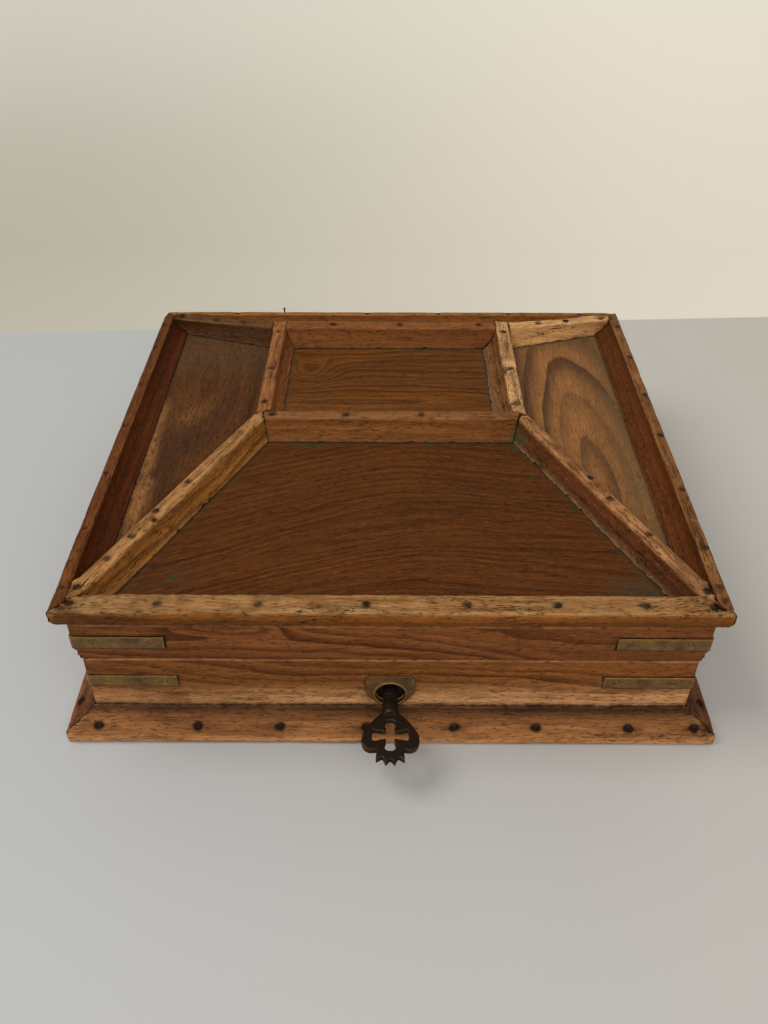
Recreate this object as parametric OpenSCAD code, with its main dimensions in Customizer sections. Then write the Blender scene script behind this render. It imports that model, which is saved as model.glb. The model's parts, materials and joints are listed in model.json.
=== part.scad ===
/* Lockable wooden collection box: a low hardwood box on a moulded plinth, with a
   hinged lid whose top is divided into four shallow trays by nailed coved bars,
   brass corner straps, a box lock in the front wall and an iron key.
   Millimetres. The origin is the centre of the underside, the front faces -Y. */

/* [Overall size] */
// Width of the plinth along the front
plinth_w = 300; // [290:1:330]
// Depth of the plinth, front to back
plinth_d = 285; // [280:1:310]
// Height of the plinth moulding
plinth_h = 13; // [12.5:0.1:13.2]
// How far the plinth stands out from the body walls
plinth_step = 12.7; // [12.5:0.1:14]
// Height of the top edge of the body walls
body_top = 43.3; // [43.1:0.1:43.5]
// Height of the underside of the lid's rim moulding
rim_base = 66.8; // [64:0.2:68]
// Height of the top of the lid
lid_top = 78.1; // [77.5:0.1:79]

/* [Boards] */
// Thickness of the body walls
wall_t = 11; // [11:0.1:12]
// Thickness of the lid's side boards
lid_board_t = 12; // [12:0.1:13]
// Thickness of the base board
base_t = 6; // [4:0.5:8]
// Thickness of the thin boards that make the tray floors
panel_t = 4.2; // [3:0.1:5]
// How far the lid boards stand in from the plinth's edge
lid_step = 10.9; // [10.7:0.1:11.2]
// How far the rim moulding stands in from the plinth's edge, front and back
rim_step = 6.75; // [6.5:0.05:7]
// The same at the two sides
rim_step_side = 5.5; // [5.3:0.1:6.7]

/* [Lid bars] */
// Flat width of a bar's top
bar_flat = 8.5; // [7:0.1:9.5]
// Depth of the trays below the bar tops
tray_depth = 9.1; // [8.6:0.1:9.4]
// Half the width across the two uprights
upright_out = 74; // [70:0.5:78]
// Where the cross bar's back edge lies, from the centre
cross_y = 20; // [12:0.5:28]
// Where the back bar's back edge lies, from the centre
back_bar_y = 123.4; // [122:0.1:124]

/* [Brass] */
// Length of one arm of a corner strap
strap_arm = 41; // [30:1:50]
// Width of a corner strap
strap_w = 7.3; // [5:0.1:8]
// Width of the shield round the keyhole
shield_w = 22.6; // [20:0.2:26]

/* [Lock and key] */
// Height of the keyhole's centre
key_z = 21.4; // [21.2:0.1:21.8]
// Length of the key's bow, from the neck to its crown tips
bow_len = 27.4; // [24:0.2:30]
// Greatest width of the key's bow
bow_w = 25.8; // [22:0.2:28]

/* [Nails] */
// Radius of a nail head
nail_head_r = 1.8; // [1.2:0.1:2]
// Radius of a nail shank
nail_r = 0.75; // [0.5:0.05:0.9]

/* [Hidden] */
$fn = 48;

// Sides of every mitred frame, counted from the front: 0 front, 1 right, 2 back, 3 left.
FRONT = 0;
RIGHT = 1;
BACK = 2;
LEFT = 3;

slip = 0.03;         // radial clearance of nails, pins and screws in their holes
run_fit = 0.05;      // radial clearance of a turning fit
seam_gap = 0.1;      // gap between the body and the closed lid
big = 400;           // reach of cutting shapes
arc_steps = 8;       // flats in a moulded curve

body_w = plinth_w - 2 * plinth_step;
body_d = plinth_d - 2 * plinth_step;
lid_w = plinth_w - 2 * lid_step;
lid_d = plinth_d - 2 * lid_step;
rim_w = plinth_w - 2 * rim_step_side;
rim_d = plinth_d - 2 * rim_step;
body_face = body_d / 2;              // distance of the body's front face from the centre
lid_bottom = body_top + seam_gap;
panel_top = lid_top - tray_depth;
panel_base = panel_top - panel_t;

// Lid boards: the lower band narrows to the seam, and a rebate holds the panels.
taper_top = 52.4;
taper_in = 1.6;
rebate_in = 6;
panel_w = lid_w - 2 * rebate_in;
panel_d = lid_d - 2 * rebate_in;

// Rim moulding, in from its own outer edge.
rim_depth = 14.4;                    // out to in, at the foot of its cove
rim_flat_front = 12.2;
rim_flat_back = 5.2;
rim_side_extra = rim_step - rim_step_side;   // the side lengths are wider by this
rim_flat_side = rim_flat_back + rim_side_extra;
rim_nose_r = 2;
rim_ovolo_r = 9;
rim_ovolo_z = lid_top - 3.5;
rim_corner_r = [1.2, 1.2, 4, 9];     // front left, front right, back right, back left
rim_rebate = lid_step + rebate_in - rim_step;

// Bars on the lid top.
bead_h = 1.2;
bead_w = 0.9;
cove_r = 10;
bar_edge = 0.7;
cross_run = 10.3;
upright_run_left = 5.5;
upright_run_right = 8.8;
back_run = 10.4;
back_flat = 10.5;
diagonal_run = 7;
corner_flat = 8.4;
corner_run_in = 10.3;
corner_run_out = 1.5;
joint_half = 70;                     // where uprights, cross bar and diagonals meet
diagonal_in = [-76.5, 13.9];         // outer edge of the left diagonal, at its upper end
diagonal_out = [-144.1, -129.2];     // and where it runs into the front corner
corner_in = [-upright_out, 121.9];   // back edge of the left corner bar, at the upright
corner_out = [-139, 132.9];          // and at the back corner

// Plinth moulding, in from its outer edge.
plinth_ledge = 1.2;
plinth_cove_in = 8.3;
plinth_cove_z = 10.1;
plinth_nose_in = 2.5;
plinth_nose_z = 7.2;
plinth_face_z = 4.2;
plinth_corner_r = 3;

// Corner straps.
strap_t = 1.2;
strap_proud = 0.4;
lid_strap_z = taper_top;
body_strap_z = 25.2;
strap_pin_at = [9, 35];
strap_pin_r = 1.3;
strap_pin_len = 8;
strap_pin_shank_r = 0.7;

// Nails.
nail_head_t = 0.6;
nail_proud = 0.15;
rim_nail_len = 18;
bar_nail_len = 11;
plinth_nail_len = 14;
rim_nail_in_front = 6.1;
rim_nail_in_side = 2.8;
rim_nail_tilt = 20;                  // side and back nails slant in to find the boards
rim_nail_rows = [
  [-135.6, -98.3, -55.8, -10.4, 32, 70.2, 107, 135.6],
  [-118, -92.3, -49.6, -3.3, 36.5, 78.1, 116],
  [-120, -75, -30, 15, 98],
  [-116, -88, -46, -4, 38, 80.5, 120]];
plinth_nail_in = 3.8;
plinth_nail_tilt = 68;               // from upright, leaning towards the body
plinth_nail_rows = [
  [-134.2, -88.4, -50.8, -10.9, 29.5, 67, 109.5, 139.8],
  [-124, -82, -40, 2, 44, 86, 122],
  [-134, -96, -56, -16, 24, 64, 102, 134],
  [-122, -84, -42, 0, 42, 84, 124]];
proud_nail = [-68, 133.9];           // one rim nail that has worked up
proud_nail_up = 3;
proud_nail_r = 0.55;
cross_nail_x = [-64.2, -24.5, 16.6];
upright_nail_y = [28.5, 65, 109];
back_nail_x = [-36, 5.5, 55];
diagonal_nail_left = [[63, 4.25], [88.5, 3.1], [93.7, 6.5], [108.2, 4.4], [125.4, 4.2], [145.6, 4.4]];
diagonal_nail_right = [[58.2, 2.6], [76.5, 4.1], [105.8, 3.5], [146.5, 3.9]];
corner_nail_at = [18, 36, 59];

// Keyhole shield.
shield_top = 11.4;                   // above the keyhole's centre
shield_tip = 8.2;                    // below it
shield_plate_t = 1;
shield_proud = 0.4;
ring_r = 8.1;
ring_proud = 1.5;
keyhole_r = 6.75;
shield_pin = [8.35, 9.3];
shield_pin_r = 1.1;
shield_pin_len = 2;                  // they stop in the wood, short of the lock case

// Box lock. All y values count in from the body's outer face.
case_front = 2.2;
case_wall = 1;
case_half_w = 25.5;
case_bottom = 13.6;
plate_half_w = 30;
plate_bottom = 12.8;
plate_t = 1.4;
selvedge_front = 1.6;
ward_slot_w = 2.4;
ward_slot_r = 6.4;
drill_pin_r = 1.2;
drill_pin_tip = 1.4;
bolt_y = 6.4;                        // middle of the bolt's thickness
bolt_t = 2.6;
bolt_left = -18.5;
bolt_nose_x = 7.5;
bolt_low = 25.8;
bolt_nose_low = 31.2;
bolt_top = 35.2;
talon_x = [-8.2, -3.7];
talon_top = 27.8;
stud_x = -10;
stud_z = 31.5;
stud_r = 1.1;
stud_travel = 5.2;
stud_play = 0.15;
lock_screw_x = 27.8;
lock_screw_z = [17, 38];
spring_t = 0.5;
spring_w = 2;

// Staple under the lid that the bolt shoots through.
staple_x = 8;
staple_t = 2.2;
staple_w = 5.2;
staple_low = 29.4;
staple_eye_side = 0.2;
staple_eye_up = 0.3;
staple_room = [0.6, 0.9];            // clearance of the slot: sideways, front to back
link_x = [-8, 26];
link_y = [2.4, 9.6];
link_t = 1.2;
link_screw_x = [-4.5, 22.5];

// Wood screws.
screw_head_r = 1.9;
screw_head_t = 0.8;
screw_r = 0.9;
screw_len = 8;

// Butt hinges.
hinge_x = 85;
hinge_len = 38;
hinge_axis_y = body_face + 2.5;
hinge_axis_z = body_top + seam_gap / 2;
hinge_r = 2;
hinge_pin_r = 0.9;
hinge_gap = 0.15;
leaf_t = 1.2;
leaf_in = 8.7;                       // how far a leaf is let in from the body's face
leaf_screw_x = 11;
leaf_screw_in = 4.2;

// Key, measured out from the body's face.
key_inner = -9.2;
key_shoulder = -1.8;
key_neck = 12.2;
key_stem_r = 2.6;
key_barrel_r = 3.65;
key_bore_deep = 9;
key_bit_r = 6;
key_bit_t = 1.8;
key_bit = [-8.6, -4];
bow_t = 3;

wood_dark = [0.36, 0.21, 0.12];
wood_mid = [0.47, 0.28, 0.15];
wood_light = [0.62, 0.42, 0.25];
brass = [0.5, 0.42, 0.22];
iron = [0.2, 0.14, 0.11];

// ---------- helpers ----------

// Points of an arc of radius r from p to q; side 1 bows it inwards, -1 outwards.
function arc(p, q, r, side) =
  let (d = (q - p) / norm(q - p),
       h = sqrt(r * r - pow(norm(q - p) / 2, 2)),
       c = (p + q) / 2 + side * h * [d.y, -d.x],
       a = atan2(p.y - c.y, p.x - c.x),
       b = atan2(q.y - c.y, q.x - c.x),
       turn = (b - a + 540) % 360 - 180)
  [for (i = [0:arc_steps]) c + r * [cos(a + turn * i / arc_steps), sin(a + turn * i / arc_steps)]];

// A rectangle round the origin with its own radius at each corner, from front left on.
function rounded(w, d, r) =
  concat(arc([-w / 2, -d / 2 + r[0]], [-w / 2 + r[0], -d / 2], r[0], -1),
         arc([w / 2 - r[1], -d / 2], [w / 2, -d / 2 + r[1]], r[1], -1),
         arc([w / 2, d / 2 - r[2]], [w / 2 - r[2], d / 2], r[2], -1),
         arc([-w / 2 + r[3], d / 2], [-w / 2, d / 2 - r[3]], r[3], -1));

// Length of side k of a frame w by d, and how far that side lies from the centre.
function side_len(k, w, d) = k % 2 == 0 ? w : d;
function side_out(k, w, d) = (k % 2 == 0 ? d : w) / 2;

// Puts children on side k: x along it, y inwards from its outer face, z up.
module on_side(k, w, d) {
  rotate(90 * k) translate([0, -side_out(k, w, d), 0]) children();
}

// Runs a moulding outline (y inwards, z up) for a length along x.
module run(len) {
  rotate([90, 0, 90]) linear_extrude(len) children();
}

// One side of a mitred frame w by d, from an outline that reaches `deep` inwards.
module mitred_side(k, w, d, deep) {
  len = side_len(k, w, d);
  on_side(k, w, d) intersection() {
    translate([-len / 2, 0, 0]) run(len) children();
    linear_extrude(big, center = true)
      polygon([[-len / 2 - 1, -1], [len / 2 + 1, -1], [len / 2 - deep, deep], [-len / 2 + deep, deep]]);
  }
}

// Puts children at the front, at height z, facing out along -Y.
module on_front(x, z) {
  translate([x, -body_face, z]) rotate([90, 0, 0]) children();
}

module nail(len) {
  translate([0, 0, nail_proud - nail_head_t]) cylinder(r = nail_head_r, h = nail_head_t);
  translate([0, 0, -len]) cylinder(r = nail_r, h = len - nail_head_t / 2);
}

module nail_hole(len) {
  translate([0, 0, nail_proud - nail_head_t]) cylinder(r = nail_head_r + slip, h = 2);
  translate([0, 0, -len]) cylinder(r = nail_r + slip, h = len);
}

module pin(head_r, shank_r, len, grow = 0) {
  translate([0, 0, -strap_proud]) cylinder(r = head_r + grow, h = 2 * strap_proud);
  translate([0, 0, -len]) cylinder(r = shank_r + grow, h = len);
}

module screw(grow = 0) {
  translate([0, 0, -screw_head_t]) cylinder(r = screw_head_r + grow, h = screw_head_t + (grow > 0 ? 1 : 0));
  translate([0, 0, -screw_len]) cylinder(r = screw_r + grow, h = screw_len);
}

// ---------- body ----------

module base_board() {
  color(wood_mid) difference() {
    translate([-body_w / 2, -body_d / 2, 0]) cube([body_w, body_d, base_t]);
    for (k = [0:3]) at_plinth_nails(k) nail_hole(plinth_nail_len);
  }
}

module wall_blank(k) {
  mitred_side(k, body_w, body_d, wall_t)
    translate([0, base_t]) square([wall_t, body_top - base_t]);
}

module front_wall() {
  color(wood_mid) difference() {
    wall_blank(FRONT);
    body_strap_cuts();
    on_front(0, key_z) translate([0, 0, -wall_t]) cylinder(r = keyhole_r, h = 2 * wall_t);
    shield_cut();
    lock_mortise();
    at_lock_screws() screw(slip);
    at_shield_pins() pin(shield_pin_r, strap_pin_shank_r, shield_pin_len, slip);
  }
}

module back_wall() {
  color(wood_mid) difference() {
    wall_blank(BACK);
    body_strap_cuts();
    both_hinges() leaf_cut(-1);
    both_hinges() at_leaf_screws(-1) screw(slip);
  }
}

module side_wall(k) {
  color(wood_mid) difference() {
    wall_blank(k);
    body_strap_cuts();
  }
}

plinth_outline = concat(
  [[0.5, 0], [plinth_step, 0], [plinth_step, plinth_h], [plinth_step - plinth_ledge, plinth_h]],
  arc([plinth_step - plinth_ledge, plinth_h - 0.4], [plinth_cove_in, plinth_cove_z], 4, 1),
  arc([plinth_nose_in, plinth_nose_z], [0, plinth_face_z], 3.6, -1),
  [[0, 0.5]]);

module plinth_side(k) {
  color(wood_light) difference() {
    intersection() {
      mitred_side(k, plinth_w, plinth_d, plinth_step) polygon(plinth_outline);
      linear_extrude(plinth_h)
        polygon(rounded(plinth_w, plinth_d, [for (i = [0:3]) plinth_corner_r]));
    }
    for (j = [0:3]) at_plinth_nails(j) nail_hole(plinth_nail_len);
  }
}

// Plinth nails slant through the moulding into the edge of the base board, and the
// last one at the front pins the mitre.
module at_plinth_nails(k) {
  on_side(k, plinth_w, plinth_d) for (x = plinth_nail_rows[k])
    translate([x, plinth_nail_in, plinth_nose_z + 0.65]) rotate([plinth_nail_tilt, 0, 0]) children();
}

module plinth_nails() {
  color(iron) for (k = [0:3]) at_plinth_nails(k) nail(plinth_nail_len);
}

// ---------- brass corner straps ----------

// Straps round the corner left of side k of a frame w by d, seen from outside.
module strap(k, w, d, z, grow = 0) {
  arm = strap_arm + strap_proud + grow;
  on_side(k, w, d) translate([-side_len(k, w, d) / 2 - strap_proud, -strap_proud, z - grow])
    linear_extrude(strap_w + 2 * grow)
      polygon([[0, 0], [arm, 0], [arm, strap_t], [strap_t, strap_t], [strap_t, arm], [0, arm]]);
}

module at_strap_pins(w, d, z) {
  for (k = [0:3]) on_side(k, w, d) for (end = [-1, 1]) for (at = strap_pin_at)
    translate([end * (side_len(k, w, d) / 2 - at), 0, z + strap_w / 2]) rotate([90, 0, 0]) children();
}

module strap_solid(k, w, d, z) {
  color(brass) difference() {
    strap(k, w, d, z);
    at_strap_pins(w, d, z) pin(strap_pin_r, strap_pin_shank_r, strap_pin_len, slip);
  }
}

module strap_cuts(w, d, z) {
  for (k = [0:3]) strap(k, w, d, z);
  at_strap_pins(w, d, z) pin(strap_pin_r, strap_pin_shank_r, strap_pin_len, slip);
}

module body_strap_cuts() {
  strap_cuts(body_w, body_d, body_strap_z);
}

module lid_strap_cuts() {
  strap_cuts(lid_w, lid_d, lid_strap_z);
}

module body_strap_pins() {
  color(brass) at_strap_pins(body_w, body_d, body_strap_z)
    pin(strap_pin_r, strap_pin_shank_r, strap_pin_len);
}

module lid_strap_pins() {
  color(brass) at_strap_pins(lid_w, lid_d, lid_strap_z)
    pin(strap_pin_r, strap_pin_shank_r, strap_pin_len);
}

// ---------- keyhole shield ----------

shield_outline = concat(
  [[-shield_w / 2 + 2, shield_top], [-shield_w / 2, shield_top - 2], [-shield_w / 2, 1]],
  arc([-shield_w / 2, 1], [0, -shield_tip], 13, -1),
  arc([0, -shield_tip], [shield_w / 2, 1], 13, -1),
  [[shield_w / 2, shield_top - 2], [shield_w / 2 - 2, shield_top]]);

module shield_cut() {
  on_front(0, key_z) translate([0, 0, shield_proud - shield_plate_t])
    linear_extrude(shield_plate_t) polygon(shield_outline);
}

module at_shield_pins() {
  for (side = [-1, 1])
    on_front(side * shield_pin.x, key_z + shield_pin.y) children();
}

module escutcheon() {
  color(brass) difference() {
    union() {
      shield_cut();
      on_front(0, key_z) cylinder(r = ring_r, h = ring_proud);
    }
    on_front(0, key_z) translate([0, 0, -5]) cylinder(r = keyhole_r, h = 10);
    at_shield_pins() pin(shield_pin_r, strap_pin_shank_r, shield_pin_len, slip);
  }
}

module escutcheon_pins() {
  color(brass) at_shield_pins() pin(shield_pin_r, strap_pin_shank_r, shield_pin_len);
}

// ---------- box lock ----------

// A box in the lock's own terms: x, depth in from the body's face, height.
module lock_box(x, in, z) {
  translate([x[0], -body_face + in[0], z[0]])
    cube([x[1] - x[0], in[1] - in[0], z[1] - z[0]]);
}

module lock_mortise() {
  lock_box([-case_half_w, case_half_w], [case_front, wall_t], [case_bottom, body_top + 1]);
  lock_box([-plate_half_w, plate_half_w], [selvedge_front, wall_t], [body_top - plate_t, body_top + 1]);
}

module at_lock_screws() {
  for (side = [-1, 1]) for (z = lock_screw_z)
    translate([side * lock_screw_x, -body_face + wall_t + plate_t, z]) rotate([-90, 0, 0]) children();
}

module staple_slot() {
  lock_box([staple_x - staple_room[0], staple_x + staple_t + staple_room[0]],
           [bolt_y - staple_w / 2 - staple_room[1], bolt_y + staple_w / 2 + staple_room[0]],
           [body_top - 3, body_top + 1]);
}

module lock_plate() {
  color(brass) difference() {
    union() {
      lock_box([-plate_half_w, plate_half_w], [wall_t, wall_t + plate_t], [plate_bottom, body_top]);
      lock_box([-plate_half_w, plate_half_w], [selvedge_front, wall_t + 0.5], [body_top - plate_t, body_top]);
    }
    staple_slot();
    at_lock_screws() screw(slip);
    on_front(0, key_z) translate([0, 0, -wall_t - 3]) cylinder(r = drill_pin_r, h = 6);
    on_front(stud_x, stud_z) translate([0, 0, -wall_t - 3]) cylinder(r = stud_r, h = 6);
  }
}

module lock_case() {
  inner = case_half_w - case_wall;
  color(iron) difference() {
    lock_box([-case_half_w, case_half_w], [case_front, wall_t], [case_bottom, body_top - plate_t]);
    lock_box([-inner, inner], [case_front + case_wall, wall_t + 1],
             [case_bottom + case_wall, body_top]);
    on_front(0, key_z) translate([0, 0, -5]) cylinder(r = key_stem_r + run_fit, h = 6);
    lock_box([-ward_slot_w / 2, ward_slot_w / 2], [case_front - 1, case_front + case_wall + 1],
             [key_z - ward_slot_r, key_z]);
  }
}

module drill_pin() {
  color(iron) on_front(0, key_z) translate([0, 0, -wall_t - plate_t])
    cylinder(r = drill_pin_r, h = wall_t + plate_t - drill_pin_tip);
}

module bolt_stud() {
  color(iron) on_front(stud_x, stud_z) translate([0, 0, -wall_t - plate_t])
    cylinder(r = stud_r, h = plate_t + wall_t - bolt_y + bolt_t / 2 + 0.6);
}

// A leaf spring bears on the bolt so that it stays where the key leaves it.
module lock_spring() {
  left = -case_half_w + case_wall;
  low = bolt_top + 0.1;
  line = concat([[left, low + 3.6]], arc([left + 2, low + 3.2], [-8, low + 0.2], 40, 1), [[-3, low + 0.9]]);
  last = len(line) - 1;
  color(iron) translate([0, -body_face + bolt_y + spring_w / 2, 0]) rotate([90, 0, 0])
    linear_extrude(spring_w)
      polygon(concat(line, [for (i = [0:last]) line[last - i] + [0, spring_t]]));
}

module lock_bolt() {
  color(brass) difference() {
    union() {
      lock_box([bolt_left, 0], [bolt_y - bolt_t / 2, bolt_y + bolt_t / 2], [bolt_low, bolt_top]);
      lock_box([-1, bolt_nose_x], [bolt_y - bolt_t / 2, bolt_y + bolt_t / 2], [bolt_nose_low, bolt_top]);
    }
    lock_box(talon_x, [0, wall_t], [bolt_low - 1, talon_top]);
    for (end = [-1, 1])
      on_front(stud_x + end * stud_travel, stud_z) translate([0, 0, -wall_t])
        cylinder(r = stud_r + stud_play, h = wall_t);
    lock_box([stud_x - stud_travel, stud_x + stud_travel], [0, wall_t],
             [stud_z - stud_r - stud_play, stud_z + stud_r + stud_play]);
  }
}

// ---------- key ----------

key_profile = [
  [key_stem_r, key_inner], [key_stem_r, key_shoulder], [key_barrel_r, key_shoulder],
  [key_barrel_r, 3.6], [3.2, 3.9], [3.2, 4.2], [3.75, 4.5], [3.75, 5.1],
  [3.2, 5.4], [3.2, 5.7], [key_barrel_r, 6], [key_barrel_r + 0.2, 10], [3.4, key_neck + 1.5]];

// Half of the bow's outline: out from the neck, round the lobe, to the crown's tips.
bow_side = [
  [3.5, -1.5], [4.2, 0.6], [6, 2.6], [8.9, 6], [11.2, 9.5], [12.5, 12.3], [12.9, 15.2],
  [12.5, 17.8], [11.4, 19.5], [9.6, 20.6], [7.6, 20.8], [5.8, 20.2],
  [6.2, 22.6], [6.4, 25.9], [3.4, 23.9], [2.1, 27.4], [0, 24.9]];
bow_points = len(bow_side);

// A quarter of the pierced cross: narrow near the centre, flared at the ends of its arms.
cross_mid = 12.7;
cross_side = [[8.1, 0], [7.8, 2.8], [3.2, 1.9]];
cross_long = [[1.8, 1.9], [1.65, 3.2], [2.4, 5.4], [2.3, 7], [1.3, 8], [0, 8.1]];

module cross_hole() {
  for (sx = [-1, 1]) for (st = [-1, 1])
    polygon([[0, cross_mid],
             for (p = cross_side) [sx * p.x, cross_mid + st * p.y],
             for (p = cross_long) [sx * p.x, cross_mid + st * p.y]]);
}

module bow_plan() {
  scale_x = bow_w / 25.8;
  scale_t = bow_len / 27.4;
  difference() {
    polygon([for (p = bow_side) [p.x * scale_x, p.y * scale_t],
             for (i = [2:bow_points]) [-bow_side[bow_points - i].x * scale_x,
                                       bow_side[bow_points - i].y * scale_t]]);
    cross_hole();
  }
}

module key() {
  color(iron) {
    difference() {
      union() {
        on_front(0, key_z) rotate_extrude()
          polygon(concat([[0, key_inner]], key_profile, [[0, key_neck + 1.5]]));
        translate([0, -body_face - key_neck, key_z - bow_t / 2])
          rotate(180) linear_extrude(bow_t) bow_plan();
        translate([-key_bit_r, -body_face - key_bit[1], key_z - key_bit_t / 2])
          cube([key_bit_r - 1.6, key_bit[1] - key_bit[0], key_bit_t]);
      }
      on_front(0, key_z) translate([0, 0, key_inner - 1])
        cylinder(r = drill_pin_r + run_fit, h = key_bore_deep + 1);
      translate([-key_bit_r - 1, -body_face - key_bit[1] + 1.9, key_z - 2])
        cube([2.6, 0.9, 4]);
    }
  }
}

// ---------- hinges ----------

module both_hinges() {
  for (side = [-1, 1]) translate([side * hinge_x, 0, 0]) children();
}

// A leaf's plate: up 1 for the lid's, -1 for the body's.
module leaf_plate(up, reach) {
  z = up > 0 ? lid_bottom : body_top - leaf_t;
  translate([-hinge_len / 2, body_face - leaf_in, z]) cube([hinge_len, leaf_in + reach, leaf_t]);
}

module leaf_cut(up) {
  z = up > 0 ? lid_bottom - 1 : body_top - leaf_t;
  translate([-hinge_len / 2, body_face - leaf_in, z]) cube([hinge_len, leaf_in + 3, leaf_t + 1]);
}

module at_leaf_screws(up) {
  for (side = [-1, 1])
    translate([side * leaf_screw_x, body_face - leaf_screw_in, up > 0 ? lid_bottom : body_top])
      rotate([up > 0 ? 180 : 0, 0, 0]) children();
}

// Knuckle positions along the hinge: the body has the outer two, the lid the middle one.
module knuckles(up, r, h_grow = 0) {
  third = hinge_len / 3;
  for (i = up > 0 ? [0] : [-1, 1])
    translate([i * third - third / 2 + hinge_gap - h_grow, hinge_axis_y, hinge_axis_z])
      rotate([0, 90, 0]) cylinder(r = r, h = third - 2 * hinge_gap + 2 * h_grow);
}

module hinge_leaf(up) {
  third = hinge_len / 3;
  z = up > 0 ? lid_bottom : body_top - leaf_t;
  color(brass) difference() {
    union() {
      leaf_plate(up, 0.2);
      knuckles(up, hinge_r);
      for (i = up > 0 ? [0] : [-1, 1])
        translate([i * third - third / 2 + hinge_gap, body_face, z])
          cube([third - 2 * hinge_gap, hinge_axis_y - body_face, leaf_t]);
    }
    translate([-hinge_len, hinge_axis_y, hinge_axis_z]) rotate([0, 90, 0])
      cylinder(r = hinge_pin_r + run_fit, h = 2 * hinge_len);
    at_leaf_screws(up) screw(slip);
  }
}

module hinge_pins() {
  color(iron) both_hinges() translate([-hinge_len / 2, hinge_axis_y, hinge_axis_z])
    rotate([0, 90, 0]) cylinder(r = hinge_pin_r, h = hinge_len);
}

module body_screws() {
  color(iron) {
    both_hinges() at_leaf_screws(-1) screw();
    at_lock_screws() screw();
  }
}

// ---------- lid boards and panels ----------

lid_outline = [
  [taper_in, lid_bottom], [lid_board_t, lid_bottom], [lid_board_t, panel_base],
  [rebate_in, panel_base], [rebate_in, rim_base], [0, rim_base], [0, taper_top]];

module lid_side(k) {
  color(wood_mid) difference() {
    mitred_side(k, lid_w, lid_d, lid_board_t) polygon(lid_outline);
    lid_strap_cuts();
    at_rim_nails(k) nail_hole(rim_nail_len);
    if (k == BACK) {
      both_hinges() leaf_cut(1);
      both_hinges() at_leaf_screws(1) screw(slip);
    }
    if (k == FRONT) {
      lock_box(link_x, link_y, [lid_bottom - 1, lid_bottom + link_t]);
      at_link_screws() screw(slip);
    }
  }
}

module at_link_screws() {
  for (x = link_screw_x)
    translate([x, -body_face + (link_y[0] + link_y[1]) / 2, lid_bottom]) rotate([180, 0, 0]) children();
}

module link_plate() {
  color(brass) difference() {
    union() {
      lock_box(link_x, link_y, [lid_bottom, lid_bottom + link_t]);
      lock_box([staple_x, staple_x + staple_t],
               [bolt_y - staple_w / 2, bolt_y + staple_w / 2], [staple_low, lid_bottom + 0.5]);
    }
    lock_box([0, staple_x + 5],
             [bolt_y - bolt_t / 2 - staple_eye_side, bolt_y + bolt_t / 2 + staple_eye_side],
             [bolt_nose_low - staple_eye_up, bolt_top + staple_eye_up]);
    at_link_screws() screw(slip);
  }
}

module lid_screws() {
  color(iron) {
    both_hinges() at_leaf_screws(1) screw();
    at_link_screws() screw();
  }
}

// Panels butt on each other under the middle of the bars.
joint_y = cross_y - bar_flat / 2;
edge_y = -panel_d / 2 + 11;          // where the diagonal joint meets the panel's side edge

module panel(outline) {
  color(wood_dark) difference() {
    translate([0, 0, panel_base]) linear_extrude(panel_t) polygon(outline);
    at_bar_nails() nail_hole(bar_nail_len);
  }
}

module panel_front() {
  panel([[-panel_w / 2, -panel_d / 2], [panel_w / 2, -panel_d / 2], [panel_w / 2, edge_y],
         [joint_half, joint_y], [-joint_half, joint_y], [-panel_w / 2, edge_y]]);
}

module panel_centre() {
  panel([[-joint_half, joint_y], [joint_half, joint_y],
         [joint_half, panel_d / 2], [-joint_half, panel_d / 2]]);
}

module panel_side(side) {
  panel([[side * panel_w / 2, edge_y], [side * joint_half, joint_y],
         [side * joint_half, panel_d / 2], [side * panel_w / 2, panel_d / 2]]);
}

// ---------- rim moulding ----------

function rim_outline(flat, extra) = concat(
  [[rim_rebate + extra, rim_base], [rim_rebate + extra, panel_top], [rim_depth + extra, panel_top],
   [rim_depth + extra, panel_top + bead_h - 0.4], [rim_depth + extra - 0.4, panel_top + bead_h]],
  arc([rim_depth + extra - bead_w, panel_top + bead_h], [flat, lid_top], cove_r, 1),
  arc([rim_nose_r, lid_top], [0, lid_top - rim_nose_r], rim_nose_r, -1),
  arc([0, rim_ovolo_z], [rim_ovolo_r - sqrt(pow(rim_ovolo_r, 2) - pow(rim_ovolo_z - rim_base, 2)),
      rim_base], rim_ovolo_r, -1));

module rim_blank(k) {
  extra = k == LEFT || k == RIGHT ? rim_side_extra : 0;
  flat = [rim_flat_front, rim_flat_side, rim_flat_back, rim_flat_side][k];
  intersection() {
    mitred_side(k, rim_w, rim_d, rim_depth + extra) polygon(rim_outline(flat, extra));
    linear_extrude(big) polygon(rounded(rim_w, rim_d, rim_corner_r));
  }
}

module at_rim_nails(k) {
  in = k == FRONT ? rim_nail_in_front : rim_nail_in_side;
  on_side(k, rim_w, rim_d) for (x = rim_nail_rows[k])
    translate([x, in, lid_top]) rotate([k == FRONT ? 0 : rim_nail_tilt, 0, 0]) children();
}

module proud_nail_shape(grow) {
  translate([proud_nail.x, proud_nail.y, lid_top - 6])
    cylinder(r = proud_nail_r + grow, h = 6 + proud_nail_up);
}

module rim_side(k) {
  color(wood_light) difference() {
    rim_blank(k);
    at_rim_nails(k) nail_hole(rim_nail_len);
    at_bar_nails() nail_hole(bar_nail_len);
    if (k == BACK) proud_nail_shape(slip);
  }
}

module rim_nails() {
  color(iron) {
    for (k = [0:3]) at_rim_nails(k) nail(rim_nail_len);
    proud_nail_shape(0);
  }
}

// ---------- bars on the lid top ----------

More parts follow.
